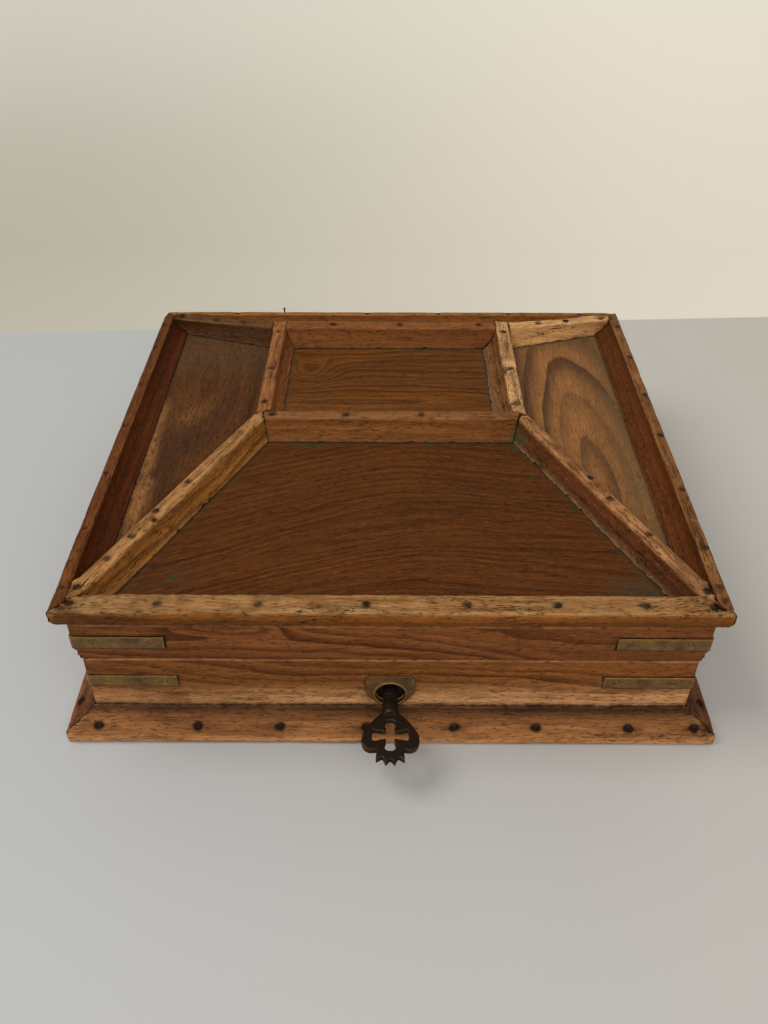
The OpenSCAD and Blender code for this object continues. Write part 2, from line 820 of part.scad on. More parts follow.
// Outline of a bar: upright back at x 0, flat top, then a cove and a bead at its foot.
function bar_outline(flat, cove_run) = concat(
  [[0, panel_top], [flat + cove_run, panel_top],
   [flat + cove_run, panel_top + bead_h - 0.4], [flat + cove_run - 0.4, panel_top + bead_h]],
  arc([flat + cove_run - bead_w, panel_top + bead_h], [flat, lid_top], cove_r, 1),
  [[bar_edge, lid_top], [0, lid_top - bar_edge]]);

// Puts children at p, with x running towards q.
module towards(p, q) {
  translate([p.x, p.y, 0]) rotate(atan2(q.y - p.y, q.x - p.x)) children();
}

// A bar whose upright back runs from p to q, kept inside the plan outline `keep`.
module bar(p, q, cove_run, keep) {
  intersection() {
    towards(p, q) run(norm(q - p)) polygon(bar_outline(bar_flat, cove_run));
    linear_extrude(big) polygon(keep);
  }
}

// Copes the ends of a bar over the rim's mouldings and bores its nail holes.
module fitted() {
  color(wood_light) difference() {
    children();
    for (k = [0:3]) rim_blank(k);
    at_bar_nails() nail_hole(bar_nail_len);
  }
}

// The three-way joint: J is its middle, and one mitre runs down to the coves' feet.
j_mid = [joint_half, 18];
j_foot = [65.35, 1.2];
j_low = j_foot + (j_foot - j_mid) * 0.3;
j_out = [upright_out + 6, 13];
j_in = [upright_out - bar_flat + 0.3, cross_y];

module bar_cross() {
  right = [j_in, j_mid, j_low];
  fitted() bar([upright_out, cross_y], [-upright_out, cross_y], cross_run,
      [for (p = right) p, for (i = [2:-1:0]) [-right[i].x, right[i].y]]);
}

module bar_upright(side) {
  cove_run = side < 0 ? upright_run_left : upright_run_right;
  flat_x = upright_out - bar_flat;
  foot = [flat_x - cove_run, back_bar_y - back_flat - back_run];
  keep = [j_out, j_mid, j_in, [foot.x - 1, cross_y], [foot.x - 1, foot.y], foot,
          [flat_x, back_bar_y - back_flat], [flat_x, back_bar_y], [j_out.x, back_bar_y]];
  p = side < 0 ? [-upright_out, back_bar_y] : [upright_out, cross_y - 10];
  q = side < 0 ? [-upright_out, cross_y - 10] : [upright_out, back_bar_y];
  fitted() bar(p, q, cove_run, [for (c = keep) [side * c.x, c.y]]);
}

module bar_back() {
  flat_x = upright_out - bar_flat;
  flat_y = back_bar_y - back_flat;
  fitted() intersection() {
    towards([flat_x, back_bar_y], [-flat_x, back_bar_y])
      run(2 * flat_x) polygon(bar_outline(back_flat, back_run));
    linear_extrude(big)
      polygon([[flat_x, back_bar_y], [flat_x, flat_y],
               [flat_x - upright_run_right, flat_y - back_run],
               [-flat_x + upright_run_left, flat_y - back_run],
               [-flat_x, flat_y], [-flat_x, back_bar_y]]);
  }
}

module bar_diagonal(side) {
  front_y = -rim_d / 2 + rim_flat_front;
  side_x = rim_w / 2 - rim_flat_side;
  keep = [j_out, j_mid, j_low, [j_low.x, front_y], [rim_w / 2 - rim_flat_front, front_y],
          [side_x, -rim_d / 2 + rim_flat_side], [side_x, 0]];
  fitted() mirror([side < 0 ? 0 : 1, 0, 0])
    bar(diagonal_in + (diagonal_in - diagonal_out) * 0.1, diagonal_out, diagonal_run,
        [for (c = keep) [-c.x, c.y]]);
}

// Points of a corner bar's end at plan place `at`, with a cove of the given run.
function corner_end(at, cove_run) =
  [for (p = bar_outline(corner_flat, cove_run)) [at.x, at.y - p.x, p.y]];

// The corner bar's cove narrows towards the corner, so it is drawn between two ends.
module bar_corner(side) {
  a = corner_end(corner_in, corner_run_in);
  b = corner_end(corner_out, corner_run_out);
  n = len(a);
  fitted() mirror([side < 0 ? 0 : 1, 0, 0])
    polyhedron(concat(a, b),
      [[for (i = [0:n - 1]) i], [for (i = [n - 1:-1:0]) n + i],
       for (i = [0:n - 1]) [i, n + i, (i + 1) % n],
       for (i = [0:n - 1]) [(i + 1) % n, n + i, n + (i + 1) % n]]);
}

module at_corner_nails(side) {
  mirror([side < 0 ? 0 : 1, 0, 0]) towards(corner_in, corner_out)
    for (at = corner_nail_at) translate([at, corner_flat / 2, lid_top]) children();
}

module at_bar_nails() {
  for (x = cross_nail_x) translate([x, cross_y - bar_flat / 2, lid_top]) children();
  for (side = [-1, 1]) for (y = upright_nail_y)
    translate([side * (upright_out - bar_flat / 2), y, lid_top]) children();
  for (x = back_nail_x) translate([x, back_bar_y - back_flat / 2, lid_top]) children();
  towards(diagonal_in, diagonal_out) for (at = diagonal_nail_left)
    translate([at.x, at.y, lid_top]) children();
  mirror([1, 0, 0]) towards(diagonal_in, diagonal_out) for (at = diagonal_nail_right)
    translate([at.x, at.y, lid_top]) children();
  for (side = [-1, 1]) at_corner_nails(side) children();
}

module bar_nails() {
  color(iron) at_bar_nails() nail(bar_nail_len);
}

// ---------- nodes ----------

base_board();
front_wall();
side_wall(RIGHT);  // right_wall
back_wall();
side_wall(LEFT);  // left_wall
plinth_side(FRONT);  // plinth_front
plinth_side(RIGHT);  // plinth_right
plinth_side(BACK);  // plinth_back
plinth_side(LEFT);  // plinth_left
plinth_nails();
strap_solid(FRONT, body_w, body_d, body_strap_z);  // body_strap_front_left
strap_solid(RIGHT, body_w, body_d, body_strap_z);  // body_strap_front_right
strap_solid(BACK, body_w, body_d, body_strap_z);  // body_strap_back_right
strap_solid(LEFT, body_w, body_d, body_strap_z);  // body_strap_back_left
body_strap_pins();
escutcheon();
escutcheon_pins();
lock_plate();
lock_case();
drill_pin();
bolt_stud();
lock_spring();
body_screws();
translate([-hinge_x, 0, 0]) hinge_leaf(-1);  // body_hinge_leaf_left
translate([hinge_x, 0, 0]) hinge_leaf(-1);  // body_hinge_leaf_right
hinge_pins();
lid_side(FRONT);  // lid_front
lid_side(RIGHT);  // lid_right
lid_side(BACK);  // lid_back
lid_side(LEFT);  // lid_left
panel_front();
panel_side(-1);  // panel_left
panel_side(1);  // panel_right
panel_centre();
rim_side(FRONT);  // rim_front
rim_side(RIGHT);  // rim_right
rim_side(BACK);  // rim_back
rim_side(LEFT);  // rim_left
bar_cross();
bar_upright(-1);  // bar_upright_left
bar_upright(1);  // bar_upright_right
bar_back();
bar_diagonal(-1);  // bar_diagonal_left
bar_diagonal(1);  // bar_diagonal_right
bar_corner(-1);  // bar_corner_left
bar_corner(1);  // bar_corner_right
rim_nails();
bar_nails();
strap_solid(FRONT, lid_w, lid_d, lid_strap_z);  // lid_strap_front_left
strap_solid(RIGHT, lid_w, lid_d, lid_strap_z);  // lid_strap_front_right
strap_solid(BACK, lid_w, lid_d, lid_strap_z);  // lid_strap_back_right
strap_solid(LEFT, lid_w, lid_d, lid_strap_z);  // lid_strap_back_left
lid_strap_pins();
translate([-hinge_x, 0, 0]) hinge_leaf(1);  // lid_hinge_leaf_left
translate([hinge_x, 0, 0]) hinge_leaf(1);  // lid_hinge_leaf_right
link_plate();
lid_screws();
lock_bolt();
key();
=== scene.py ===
# %% [markdown]
# # A lockable collection box
# A low hardwood box stands on a moulded plinth. Its hinged lid is topped with coved
# bars, nailed down, that divide it into four shallow trays. Brass straps bind the
# corners, a brass shield guards the keyhole and an iron key stands in the lock.
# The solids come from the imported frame. This lesson gives them worn wood, aged
# brass and old iron, and swaps the crisp solids for softened, handled ones.

# %% Load the frame
import json
import math
import bpy
import bmesh
import numpy as np
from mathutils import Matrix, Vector
from mathutils.bvhtree import BVHTree

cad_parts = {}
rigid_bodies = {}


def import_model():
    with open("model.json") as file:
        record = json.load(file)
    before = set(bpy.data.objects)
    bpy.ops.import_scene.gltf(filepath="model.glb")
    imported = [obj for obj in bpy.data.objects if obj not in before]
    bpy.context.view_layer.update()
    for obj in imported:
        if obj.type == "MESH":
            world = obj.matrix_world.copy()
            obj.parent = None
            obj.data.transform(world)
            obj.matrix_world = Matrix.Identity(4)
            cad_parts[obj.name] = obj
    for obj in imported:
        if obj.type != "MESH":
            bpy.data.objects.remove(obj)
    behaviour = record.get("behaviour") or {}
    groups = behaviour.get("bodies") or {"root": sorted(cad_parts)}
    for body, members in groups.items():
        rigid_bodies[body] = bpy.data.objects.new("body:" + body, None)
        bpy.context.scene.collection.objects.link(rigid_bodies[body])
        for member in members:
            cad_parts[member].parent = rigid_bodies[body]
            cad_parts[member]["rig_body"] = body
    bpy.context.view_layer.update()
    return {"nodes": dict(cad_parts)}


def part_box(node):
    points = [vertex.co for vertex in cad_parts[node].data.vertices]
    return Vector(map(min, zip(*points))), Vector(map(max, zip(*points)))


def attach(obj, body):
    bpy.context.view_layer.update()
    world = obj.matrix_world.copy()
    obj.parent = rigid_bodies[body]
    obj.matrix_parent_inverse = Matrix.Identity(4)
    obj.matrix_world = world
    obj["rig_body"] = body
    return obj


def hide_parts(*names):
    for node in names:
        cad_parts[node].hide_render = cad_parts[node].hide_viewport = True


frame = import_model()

MM = 0.001
NODES = frame["nodes"]

# %% [markdown]
# ## Camera, light, floor
# The box is seen from the front and well above, close up, so the far side looks
# narrower. A pale room gives most of the light; one wide lamp over the front left
# models the coves. The wall behind is plain, and clear from its back, so that it
# never hides the box from another side.

# %% Camera
LOOK_DOWN, LEAN = 39.15, 0.345  # degrees
camera_data = bpy.data.cameras.new("camera")
camera_data.lens = 32.77
camera_data.sensor_width = 36
camera_data.clip_start = 0.01
camera = bpy.data.objects.new("camera", camera_data)
camera.location = (-0.0012, -0.4089, 0.3553)
camera.rotation_euler = (math.radians(90 - LOOK_DOWN), 0, math.radians(LEAN))
bpy.context.scene.collection.objects.link(camera)
bpy.context.scene.camera = camera
print("camera at", [round(v / MM) for v in camera.location], "mm")

# %% [markdown]
# ## Sums with nodes
# Materials and Geometry Nodes work their numbers out with small nodes, one for each
# sum. Building them one by one hides the formula, so a number in a tree is wrapped
# in a `Value` here. Writing a + b then adds the node for that sum, and a formula
# reads as it would on paper.


# %% Colours and values
def colour(r, g, b):
    """A colour given as 0 to 255 steps, as the linear colour that Blender works in."""
    steps = [c / 255 for c in (r, g, b)]
    return tuple(c / 12.92 if c <= 0.04045 else ((c + 0.055) / 1.055) ** 2.4 for c in steps) + (1,)


def darker(tint, share):
    """The colour of these 0 to 255 steps, with each step cut to a share."""
    return colour(*[c * share for c in tint])


class Value:
    """A socket of a node tree that can stand in a sum."""
    def __init__(self, tree, socket):
        self.tree, self.socket = tree, socket

    def __add__(self, other):
        return maths(self.tree, "ADD", self, other)

    def __sub__(self, other):
        return maths(self.tree, "SUBTRACT", self, other)

    def __rsub__(self, other):
        return maths(self.tree, "SUBTRACT", other, self)

    def __mul__(self, other):
        return maths(self.tree, "MULTIPLY", self, other)

    def __truediv__(self, other):
        return maths(self.tree, "DIVIDE", self, other)


def put(socket, value):
    """Plugs in a value's socket, or sets a plain value."""
    if isinstance(value, Value):
        value = value.socket
    if isinstance(value, bpy.types.NodeSocket):
        socket.id_data.links.new(value, socket)
    else:
        socket.default_value = value


print("a mid grey is", round(colour(128, 128, 128)[0], 3), "in linear light")


# %% Adding nodes
def add(tree, kind, inputs=(), **settings):
    """Adds a node with its settings, and fills its inputs by name or number."""
    node = tree.nodes.new(kind)
    for name, value in settings.items():
        setattr(node, name, value)
    for name, value in dict(inputs).items():
        put(node.inputs[name], value)
    return node


def maths(tree, operation, *values, clamp=False):
    node = add(tree, "ShaderNodeMath", enumerate(values), operation=operation, use_clamp=clamp)
    return Value(tree, node.outputs[0])


def root_of_squares(tree, a, b):
    return maths(tree, "SQRT", a * a + b * b)


def vector_maths(tree, operation, a, b):
    node = add(tree, "ShaderNodeVectorMath", {0: a, 1: b}, operation=operation)
    return Value(tree, node.outputs[0])


def split(tree, vector):
    """The x, y and z of a vector."""
    return [Value(tree, part) for part in add(tree, "ShaderNodeSeparateXYZ", {0: vector}).outputs]


def combine(tree, x, y, z):
    return Value(tree, add(tree, "ShaderNodeCombineXYZ", {"X": x, "Y": y, "Z": z}).outputs[0])


def smooth_step(tree, value, low, high):
    """0 below low, 1 above high, and a soft ramp between."""
    node = add(tree, "ShaderNodeMapRange", {"Value": value, "From Min": low, "From Max": high},
               interpolation_type="SMOOTHSTEP")
    return Value(tree, node.outputs["Result"])


def mix_colour(tree, amount, a, b):
    node = add(tree, "ShaderNodeMix", {"Factor": amount, 6: a, 7: b}, data_type="RGBA")
    return Value(tree, node.outputs[2])


def noise(tree, where, scale, detail=2.0, roughness=0.5):
    node = add(tree, "ShaderNodeTexNoise",
               {"Vector": where, "Scale": scale, "Detail": detail, "Roughness": roughness})
    return Value(tree, node.outputs["Fac"])


print("nodes can be added, with soft ramps, colour mixes and noise among them")


# %% Groups and materials
def new_tree(kind, name, inputs, outputs):
    """A node group with named sockets. An input is its name, its kind and a start value."""
    tree = bpy.data.node_groups.new(name, kind)
    for socket_name, socket_kind, *start in inputs:
        socket = tree.interface.new_socket(socket_name, in_out="INPUT",
                                           socket_type="NodeSocket" + socket_kind)
        if start:
            socket.default_value = start[0]
    for socket_name, socket_kind in outputs:
        tree.interface.new_socket(socket_name, in_out="OUTPUT",
                                  socket_type="NodeSocket" + socket_kind)
    given = {s.name: Value(tree, s) for s in tree.nodes.new("NodeGroupInput").outputs if s.name}
    return tree, given, tree.nodes.new("NodeGroupOutput").inputs


def place(tree, group, **values):
    """Puts a group in a material's tree; underscores in a name stand for spaces."""
    node = add(tree, "ShaderNodeGroup", node_tree=group)
    for name, value in values.items():
        put(node.inputs[name.replace("_", " ")], value)
    return {s.name: Value(tree, s) for s in node.outputs}


def new_material(name):
    """A material, its tree, its main shader and the place in the solid, to be read by noise."""
    material = bpy.data.materials.new(name)
    material.use_nodes = True
    tree = material.node_tree
    where = tree.nodes.new("ShaderNodeTexCoord").outputs["Object"]
    return material, tree, tree.nodes["Principled BSDF"], where


print("a group can be built once and placed in many materials")

# %% [markdown]
# ## The room
# The floor and the wall are two sheets. The wall curves up out of the floor so that
# no hard corner shows. Both carry painted light: their colours brighten from left to
# right, as in a room lit from a window, and the wall is painted darker towards its
# foot. The floor turns to the wall's darker foot colour along a line just behind the box.


# %% Floor and wall
def plain_material(name, roughness=0.6):
    material, tree, shader, where = new_material(name)
    shader.inputs["Roughness"].default_value = roughness
    return material, tree, shader, split(tree, where)


def across_room(tree, x, left, right):
    """A colour that drifts from the left of the room to its right."""
    return mix_colour(tree, smooth_step(tree, x, -0.4, 0.45), colour(*left), colour(*right))


def sheet_of(name, rows, material):
    """A wide sheet that runs through lines across the room, each given by its y and z."""
    mesh = bpy.data.meshes.new(name)
    mesh.from_pydata([(x, y, z) for y, z in rows for x in (-3, 3)], [],
                     [(2 * i, 2 * i + 1, 2 * i + 3, 2 * i + 2) for i in range(len(rows) - 1)])
    mesh.materials.append(material)
    mesh.shade_smooth()
    made = bpy.data.objects.new(name, mesh)
    bpy.context.scene.collection.objects.link(made)


FLOOR_Z = -0.2 * MM
CURVE_Y, CURVE_R, WALL_TOP = 0.42, 0.3, 2
# Painted shade: the wall's colour at its foot, left and right, darker than higher up.
FOOT_OF_WALL = (182, 178, 164), (238, 230, 216)  # left and right of the room

table, tree, shader, (x, y, z) = plain_material("table")
# Painted light: the table is painted brighter to the right; behind the line it takes the wall's darker
# foot colour.
grey = across_room(tree, x, (176, 179, 181), (194, 188, 179))
behind = smooth_step(tree, x * -0.05 + y, 0.2645, 0.2665)
put(shader.inputs["Base Color"], mix_colour(tree, behind, grey, across_room(tree, x, *FOOT_OF_WALL)))
sheet_of("floor", [(-3, FLOOR_Z), (3, FLOOR_Z)], table)

plaster, tree, shader, (x, y, z) = plain_material("wall")
# Painted light: the wall is painted brighter to the right and darker towards its foot.
white = across_room(tree, x, (210, 206, 192), (250, 243, 228))
put(shader.inputs["Base Color"],
    mix_colour(tree, smooth_step(tree, z, 0, 0.2), across_room(tree, x, *FOOT_OF_WALL), white))
clear = add(tree, "ShaderNodeBsdfTransparent")
from_behind = add(tree, "ShaderNodeNewGeometry").outputs["Backfacing"]
pick = add(tree, "ShaderNodeMixShader", {0: from_behind, 1: shader.outputs[0], 2: clear.outputs[0]})
put(tree.nodes["Material Output"].inputs[0], pick.outputs[0])
turns = [math.radians(90 * i / 24) for i in range(1, 25)]
sheet_of("wall", [(CURVE_Y, FLOOR_Z + 0.1 * MM)]
         + [(CURVE_Y + CURVE_R * math.sin(a), CURVE_R * (1 - math.cos(a))) for a in turns]
         + [(CURVE_Y + CURVE_R, WALL_TOP)], plaster)
print("stage set: the wall starts to rise at", round(CURVE_Y / MM), "mm")


# %% Light
def soft_lamp(name, place_at, size, power):
    """A wide lamp aimed at the middle of the box."""
    data = bpy.data.lights.new(name, "AREA")
    data.size = size
    data.energy = power
    data.color = (1, 0.97, 0.92)
    lamp = bpy.data.objects.new(name, data)
    lamp.location = place_at
    lamp.rotation_euler = (Vector((0, 0, 0.05)) - Vector(place_at)).to_track_quat("-Z", "Y").to_euler()
    bpy.context.scene.collection.objects.link(lamp)


world = bpy.data.worlds.new("room")
bpy.context.scene.world = world
world.use_nodes = True
sky = world.node_tree.nodes["Background"]
sky.inputs["Color"].default_value = (0.93, 0.96, 1, 1)
sky.inputs["Strength"].default_value = 0.5
soft_lamp("window", (-0.8, -0.1, 1.3), 0.8, 10.8)
soft_lamp("room_lamp", (0.2, -1.15, 0.95), 1.1, 7)
bpy.context.scene.view_settings.view_transform = "Standard"

# %% [markdown]
# ## Wood
# Wood is a bundle of fibres laid in yearly rings round the middle of the tree. A
# board shows the rings as lines where it was cut along them and as nested arches
# where it was cut on a slant. So the colour is worked out in the solid: how far a
# point lies from the tree's middle gives its ring, and noise stretched along the
# grain gives fibres, pores and cracks. Each board places that middle where its own
# figure needs it. In all three groups X runs along the grain.

# %% Growth rings
rings, given, shown = new_tree("ShaderNodeTree", "growth_rings", [
    ("Vector", "Vector"), ("Slope", "Float", 0.1), ("Ring Width", "Float", 0.005),
    ("Waviness", "Float", 0.004), ("Wild", "Float", 1.2), ("Knot", "Vector", (9, 9, 9)),
    ("Knot Size", "Float", 0.01), ("Knot Length", "Float", 1)],
    [("Rings", "Float"), ("Broad", "Float")])
x, y, z = split(rings, given["Vector"])
slow = vector_maths(rings, "MULTIPLY", given["Vector"], (0.25, 1, 1))
sway = (noise(rings, slow, 22, 3) - 0.5) * given["Waviness"] * 2
from_middle = root_of_squares(rings, x * given["Slope"] + z + sway, y + sway)
# Rings part round a knot, which may be drawn out along the grain.
knot_x, knot_y, knot_z = split(rings, vector_maths(rings, "SUBTRACT", given["Vector"], given["Knot"]))
knot_run = knot_x / given["Knot Length"]
knot_squares = knot_run * knot_run + knot_y * knot_y + knot_z * knot_z
knot_gap = maths(rings, "SQRT", knot_squares) / given["Knot Size"]
swirl = maths(rings, "EXPONENT", knot_gap * knot_gap * -1)
count = (from_middle / given["Ring Width"] + swirl * 4
         + noise(rings, slow, 45, 3) * given["Wild"])
part = maths(rings, "FRACT", count)
late_wood = smooth_step(rings, part, 0.15, 0.9) * (1 - smooth_step(rings, part, 0.9, 1))
# Some years are dark and some are faint.
year = add(rings, "ShaderNodeTexWhiteNoise", {"W": maths(rings, "FLOOR", count)}, noise_dimensions="1D")
strength = Value(rings, year.outputs["Value"]) * 0.7 + 0.3
put(shown["Rings"], late_wood * strength)
put(shown["Broad"], smooth_step(rings, noise(rings, slow, 30, 3), 0.3, 0.7))
print("growth rings:", len(rings.nodes), "nodes")

# %% Fibres, pores and cracks
fibres, given, shown = new_tree("ShaderNodeTree", "fibres", [
    ("Vector", "Vector"), ("Wander", "Float", 0.006), ("Cracks", "Float", 0.5)],
    [("Fibre", "Float"), ("Streak", "Float"), ("Pores", "Float"), ("Fleck", "Float"),
     ("Crack", "Float"), ("Height", "Float")])
# The fibres wander a little to the side as they run.
loose = vector_maths(fibres, "MULTIPLY", given["Vector"], (1, 0.5, 0.5))
sideways = (noise(fibres, loose, 13, 1) - 0.5) * given["Wander"] + noise(fibres, loose, 70, 2) * 0.0025
run = vector_maths(fibres, "ADD", given["Vector"], combine(fibres, 0, sideways, 0))


def drawn_out(share, scale, detail, roughness=0.5):
    """Noise squeezed along the grain to a share, which draws its spots out into lines."""
    return noise(fibres, vector_maths(fibres, "MULTIPLY", run, (share, 1, 1)), scale, detail, roughness)


hair = drawn_out(0.04, 1500, 4, 0.65)
streak = drawn_out(0.05, 420, 4, 0.7)
pore_noise = drawn_out(0.17, 1500, 2, 0.6)
pores = smooth_step(fibres, pore_noise, 0.56, 0.65)
# A crack runs where one noise crosses its middle, but only inside a few patches.
off_middle = maths(fibres, "ABSOLUTE", drawn_out(0.1, 640, 3, 0.6) - 0.5)
crack_line = 1 - smooth_step(fibres, off_middle, 0.004, 0.022)
crack_here = smooth_step(fibres, drawn_out(0.35, 110, 3), 0.5, 0.64)
crack = maths(fibres, "MULTIPLY", crack_line * crack_here, given["Cracks"], clamp=True)
put(shown["Fibre"], hair)
put(shown["Streak"], streak)
put(shown["Pores"], pores)
put(shown["Fleck"], smooth_step(fibres, pore_noise, 0.36, 0.28))
put(shown["Crack"], crack)
put(shown["Height"], hair * 0.5 - pores * 0.35 + streak * 0.5 - crack)
print("fibres:", len(fibres.nodes), "nodes")

# %% [markdown]
# ## A bow in the grain
# A board from a trunk that was not straight shows its lines as one long, flat bow.
# This group lifts the place that is looked up, along a curve with its own slope on
# each side of the bow's middle, so straight lines come out bowed.

# %% Bowed grain
bowing, given, shown = new_tree("ShaderNodeTree", "bowed_grain", [
    ("Vector", "Vector"), ("Middle", "Float", 0), ("Left", "Float", 0), ("Right", "Float", 0),
    ("Width", "Float", 0.03)], [("Vector", "Vector")])
along = split(bowing, given["Vector"])[0] - given["Middle"]
slope = smooth_step(bowing, along, -0.02, 0.02) * (given["Right"] - given["Left"]) + given["Left"]
lift = slope * (root_of_squares(bowing, along, given["Width"]) - given["Width"])
put(shown["Vector"], vector_maths(bowing, "ADD", given["Vector"], combine(bowing, 0, lift, 0)))
print("bow:", len(bowing.nodes), "nodes")

# %% [markdown]
# ## What handling does to a surface
# Hands rub the high edges pale, dirt and old wax stay in the coves and corners,
# iron nails turn the wood round them black, and a little green has crept out of the
# joints. Painted shade rides on the dirt, dust and stain marks too, in the hollows, in
# the plinth's cove and along the trays' edges, and painted highlights ride on the rub
# mark along a few edges. Each of these is stored on the piece's points when it is
# made, from its real shape. This group lays them over any wood's own colour.

# %% Handling
RUST_STAIN, GREEN_STAIN = (34, 22, 16), (20, 66, 32)
handling, given, shown = new_tree("ShaderNodeTree", "handling", [
    ("Colour", "Color"), ("Vector", "Vector"), ("Rubbed Colour", "Color"),
    ("Dirt Colour", "Color"), ("Dust Colour", "Color"), ("Grain", "Float", 0.5),
    ("Rub", "Float", 0), ("Dirt", "Float", 0), ("Dust", "Float", 0), ("Stain", "Float", 0),
    ("Green", "Float", 0)],
    [("Colour", "Color"), ("Roughness", "Float")])
patches = noise(handling, given["Vector"], 160, 4, 0.6)


def patchy(mark, mask):
    """A mark that shows only where its mask lets it."""
    return maths(handling, "MULTIPLY", given[mark], mask, clamp=True)


def ramp(value, low, high):
    return smooth_step(handling, value, low, high)


# Rub carries a few painted highlights as well as wear; Dust, Dirt and Stain carry painted shade as well
# as dust, dirt and stains.
rub = patchy("Rub", ramp(given["Grain"] * 0.65 + patches * 0.35, 0.25, 0.6))
dust = patchy("Dust", ramp(noise(handling, given["Vector"], 420, 4, 0.65), 0.3, 0.6))
dirt = patchy("Dirt", ramp(patches, 0.75, 0.3))
stain = patchy("Stain", patches * 0.6 + 0.7)
green = patchy("Green", ramp(noise(handling, given["Vector"], 700, 3), 0.42, 0.62))
tone = mix_colour(handling, rub * 0.9, given["Colour"], given["Rubbed Colour"])
tone = mix_colour(handling, dust, tone, given["Dust Colour"])
tone = mix_colour(handling, dirt, tone, given["Dirt Colour"])
tone = mix_colour(handling, stain, tone, colour(*RUST_STAIN))
tone = mix_colour(handling, green, tone, colour(*GREEN_STAIN))
put(shown["Colour"], tone)
put(shown["Roughness"], patches * 0.25 + 0.5 - rub * 0.08)
print("handling:", len(handling.nodes), "nodes")

# %% [markdown]
# ## One wood, many boards
# Every board is cut from much the same timber, but no two look alike. One function
# makes the material, and each board passes its own colours, the way its grain runs
# and where the middle of its tree lay. A Mapping node turns the board's own place so
# that X runs along the grain.


# %% Wood material
def stored(tree, mark):
    """A mark that was stored on the piece's points."""
    return Value(tree, add(tree, "ShaderNodeAttribute", attribute_name=mark).outputs["Fac"])


def stored_marks(tree, *marks):
    return {mark.capitalize(): stored(tree, mark) for mark in marks}


def add_bump(tree, shader, height, strength, depth):
    bump = add(tree, "ShaderNodeBump", {"Strength": strength, "Distance": depth, "Height": height})
    put(shader.inputs["Normal"], bump.outputs[0])


NOWHERE = (9, 9, 9)  # metres off: a knot that no board reaches


def wood(name, light, dark, rubbed=(176, 132, 82), broad=None, dirt=(38, 24, 14), dust=(104, 84, 56),
         turn=0, middle=(0, 0, 0.03), ring=0.006, slope=0.03, sway=0.005, wild=1.2, contrast=0.6,
         broad_share=0.5, knot=NOWHERE, knot_size=0.01, knot_length=1, bow=None, wander=0.006,
         streaks=0.8, flecks=0.25, pitted=0.6, cracks=0.5):
    """One board's material: its colours, how its grain lies, its rings and its fibres.

    Colours are 0 to 255 steps, `turn` is the grain's angle in degrees and lengths are
    in metres.
    """
    material, tree, shader, where = new_material(name)
    mapping = add(tree, "ShaderNodeMapping", {"Vector": where}, vector_type="TEXTURE")
    mapping.inputs["Location"].default_value = middle
    mapping.inputs["Rotation"].default_value = (0, 0, math.radians(turn))
    grain = mapping.outputs[0]
    if bow:
        bow_at, left, right = bow
        grain = place(tree, bowing, Vector=grain, Middle=bow_at, Left=left, Right=right)["Vector"]
    lines = place(tree, rings, Vector=grain, Slope=slope, Ring_Width=ring, Waviness=sway, Wild=wild,
                  Knot=knot, Knot_Size=knot_size, Knot_Length=knot_length)
    fine = place(tree, fibres, Vector=grain, Wander=wander, Cracks=stored(tree, "dry") * 1.6 + cracks)
    # The wood as it was cut: a broad drift of colour, rings, fibres, pores and flecks.
    tone = mix_colour(tree, lines["Broad"] * broad_share, colour(*light), colour(*(broad or dark)))
    tone = mix_colour(tree, lines["Rings"] * contrast, tone, colour(*dark))
    shade = fine["Fibre"] * 1.3 + (fine["Streak"] * streaks + (0.35 - streaks / 2))
    tone = vector_maths(tree, "MULTIPLY", tone, shade)
    tone = mix_colour(tree, fine["Pores"] * pitted, tone, darker(dark, 0.55))
    tone = mix_colour(tree, fine["Fleck"] * flecks, tone, colour(*rubbed))
    # The same wood rubbed pale, with its pores still dark, and the marks over both.
    pale = vector_maths(tree, "MULTIPLY", colour(*rubbed)[:3], shade)
    pale = mix_colour(tree, fine["Pores"] * (pitted + 0.1), pale, darker(dark, 0.8))
    worn = place(tree, handling, Colour=tone, Vector=where, Rubbed_Colour=pale,
                 Dirt_Colour=colour(*dirt), Dust_Colour=colour(*dust), Grain=fine["Streak"],
                 **stored_marks(tree, "rub", "dirt", "dust", "stain", "green"))
    put(shader.inputs["Base Color"], mix_colour(tree, fine["Crack"], worn["Colour"], colour(34, 20, 10)))
    put(shader.inputs["Roughness"], worn["Roughness"])
    shader.inputs["Specular IOR Level"].default_value = 0.06
    add_bump(tree, shader, fine["Height"], 0.6, 0.4 * MM)
    return material


print("a wood uses groups of", [len(group.nodes) for group in (rings, fibres, handling)], "nodes")

# %% [markdown]
# ## Metal
# The straps and the shield are old brass that was never polished: brown in the
# hollows, yellow where fingers pass. On the straps a highlight is painted along the
# top edge and shade along the lower edge. The nails and the key are iron with a thin
# brown skin of rust. Both are one group: a clean tone, a tarnish tone and a noise
# that decides between them.

# %% Metal skin
skin, given, shown = new_tree("ShaderNodeTree", "metal_skin", [
    ("Vector", "Vector"), ("Clean", "Color"), ("Tarnish", "Color"), ("Deep", "Color"),
    ("Cover", "Float", 0.5), ("Rub", "Float", 0), ("Dirt", "Float", 0)],
    [("Colour", "Color"), ("Roughness", "Float"), ("Clear", "Float"), ("Height", "Float")])
large = noise(skin, given["Vector"], 180, 4, 0.6)
small = noise(skin, given["Vector"], 1600, 4, 0.65)
mottle = small * 0.35 + large * 0.65
covered = smooth_step(skin, mottle - 0.5 + given["Cover"] - given["Rub"] * 0.6, 0.3, 0.62)
pitted = smooth_step(skin, large, 0.5, 0.75) * covered
deep = maths(skin, "MAXIMUM", pitted * 0.7, given["Dirt"] * 0.9)
metal = mix_colour(skin, covered, given["Clean"], given["Tarnish"])
put(shown["Colour"], mix_colour(skin, deep, metal, given["Deep"]))
put(shown["Roughness"], covered * 0.28 + (small * 0.25 + 0.22))
put(shown["Clear"], 1 - covered * 0.75)
put(shown["Height"], small)


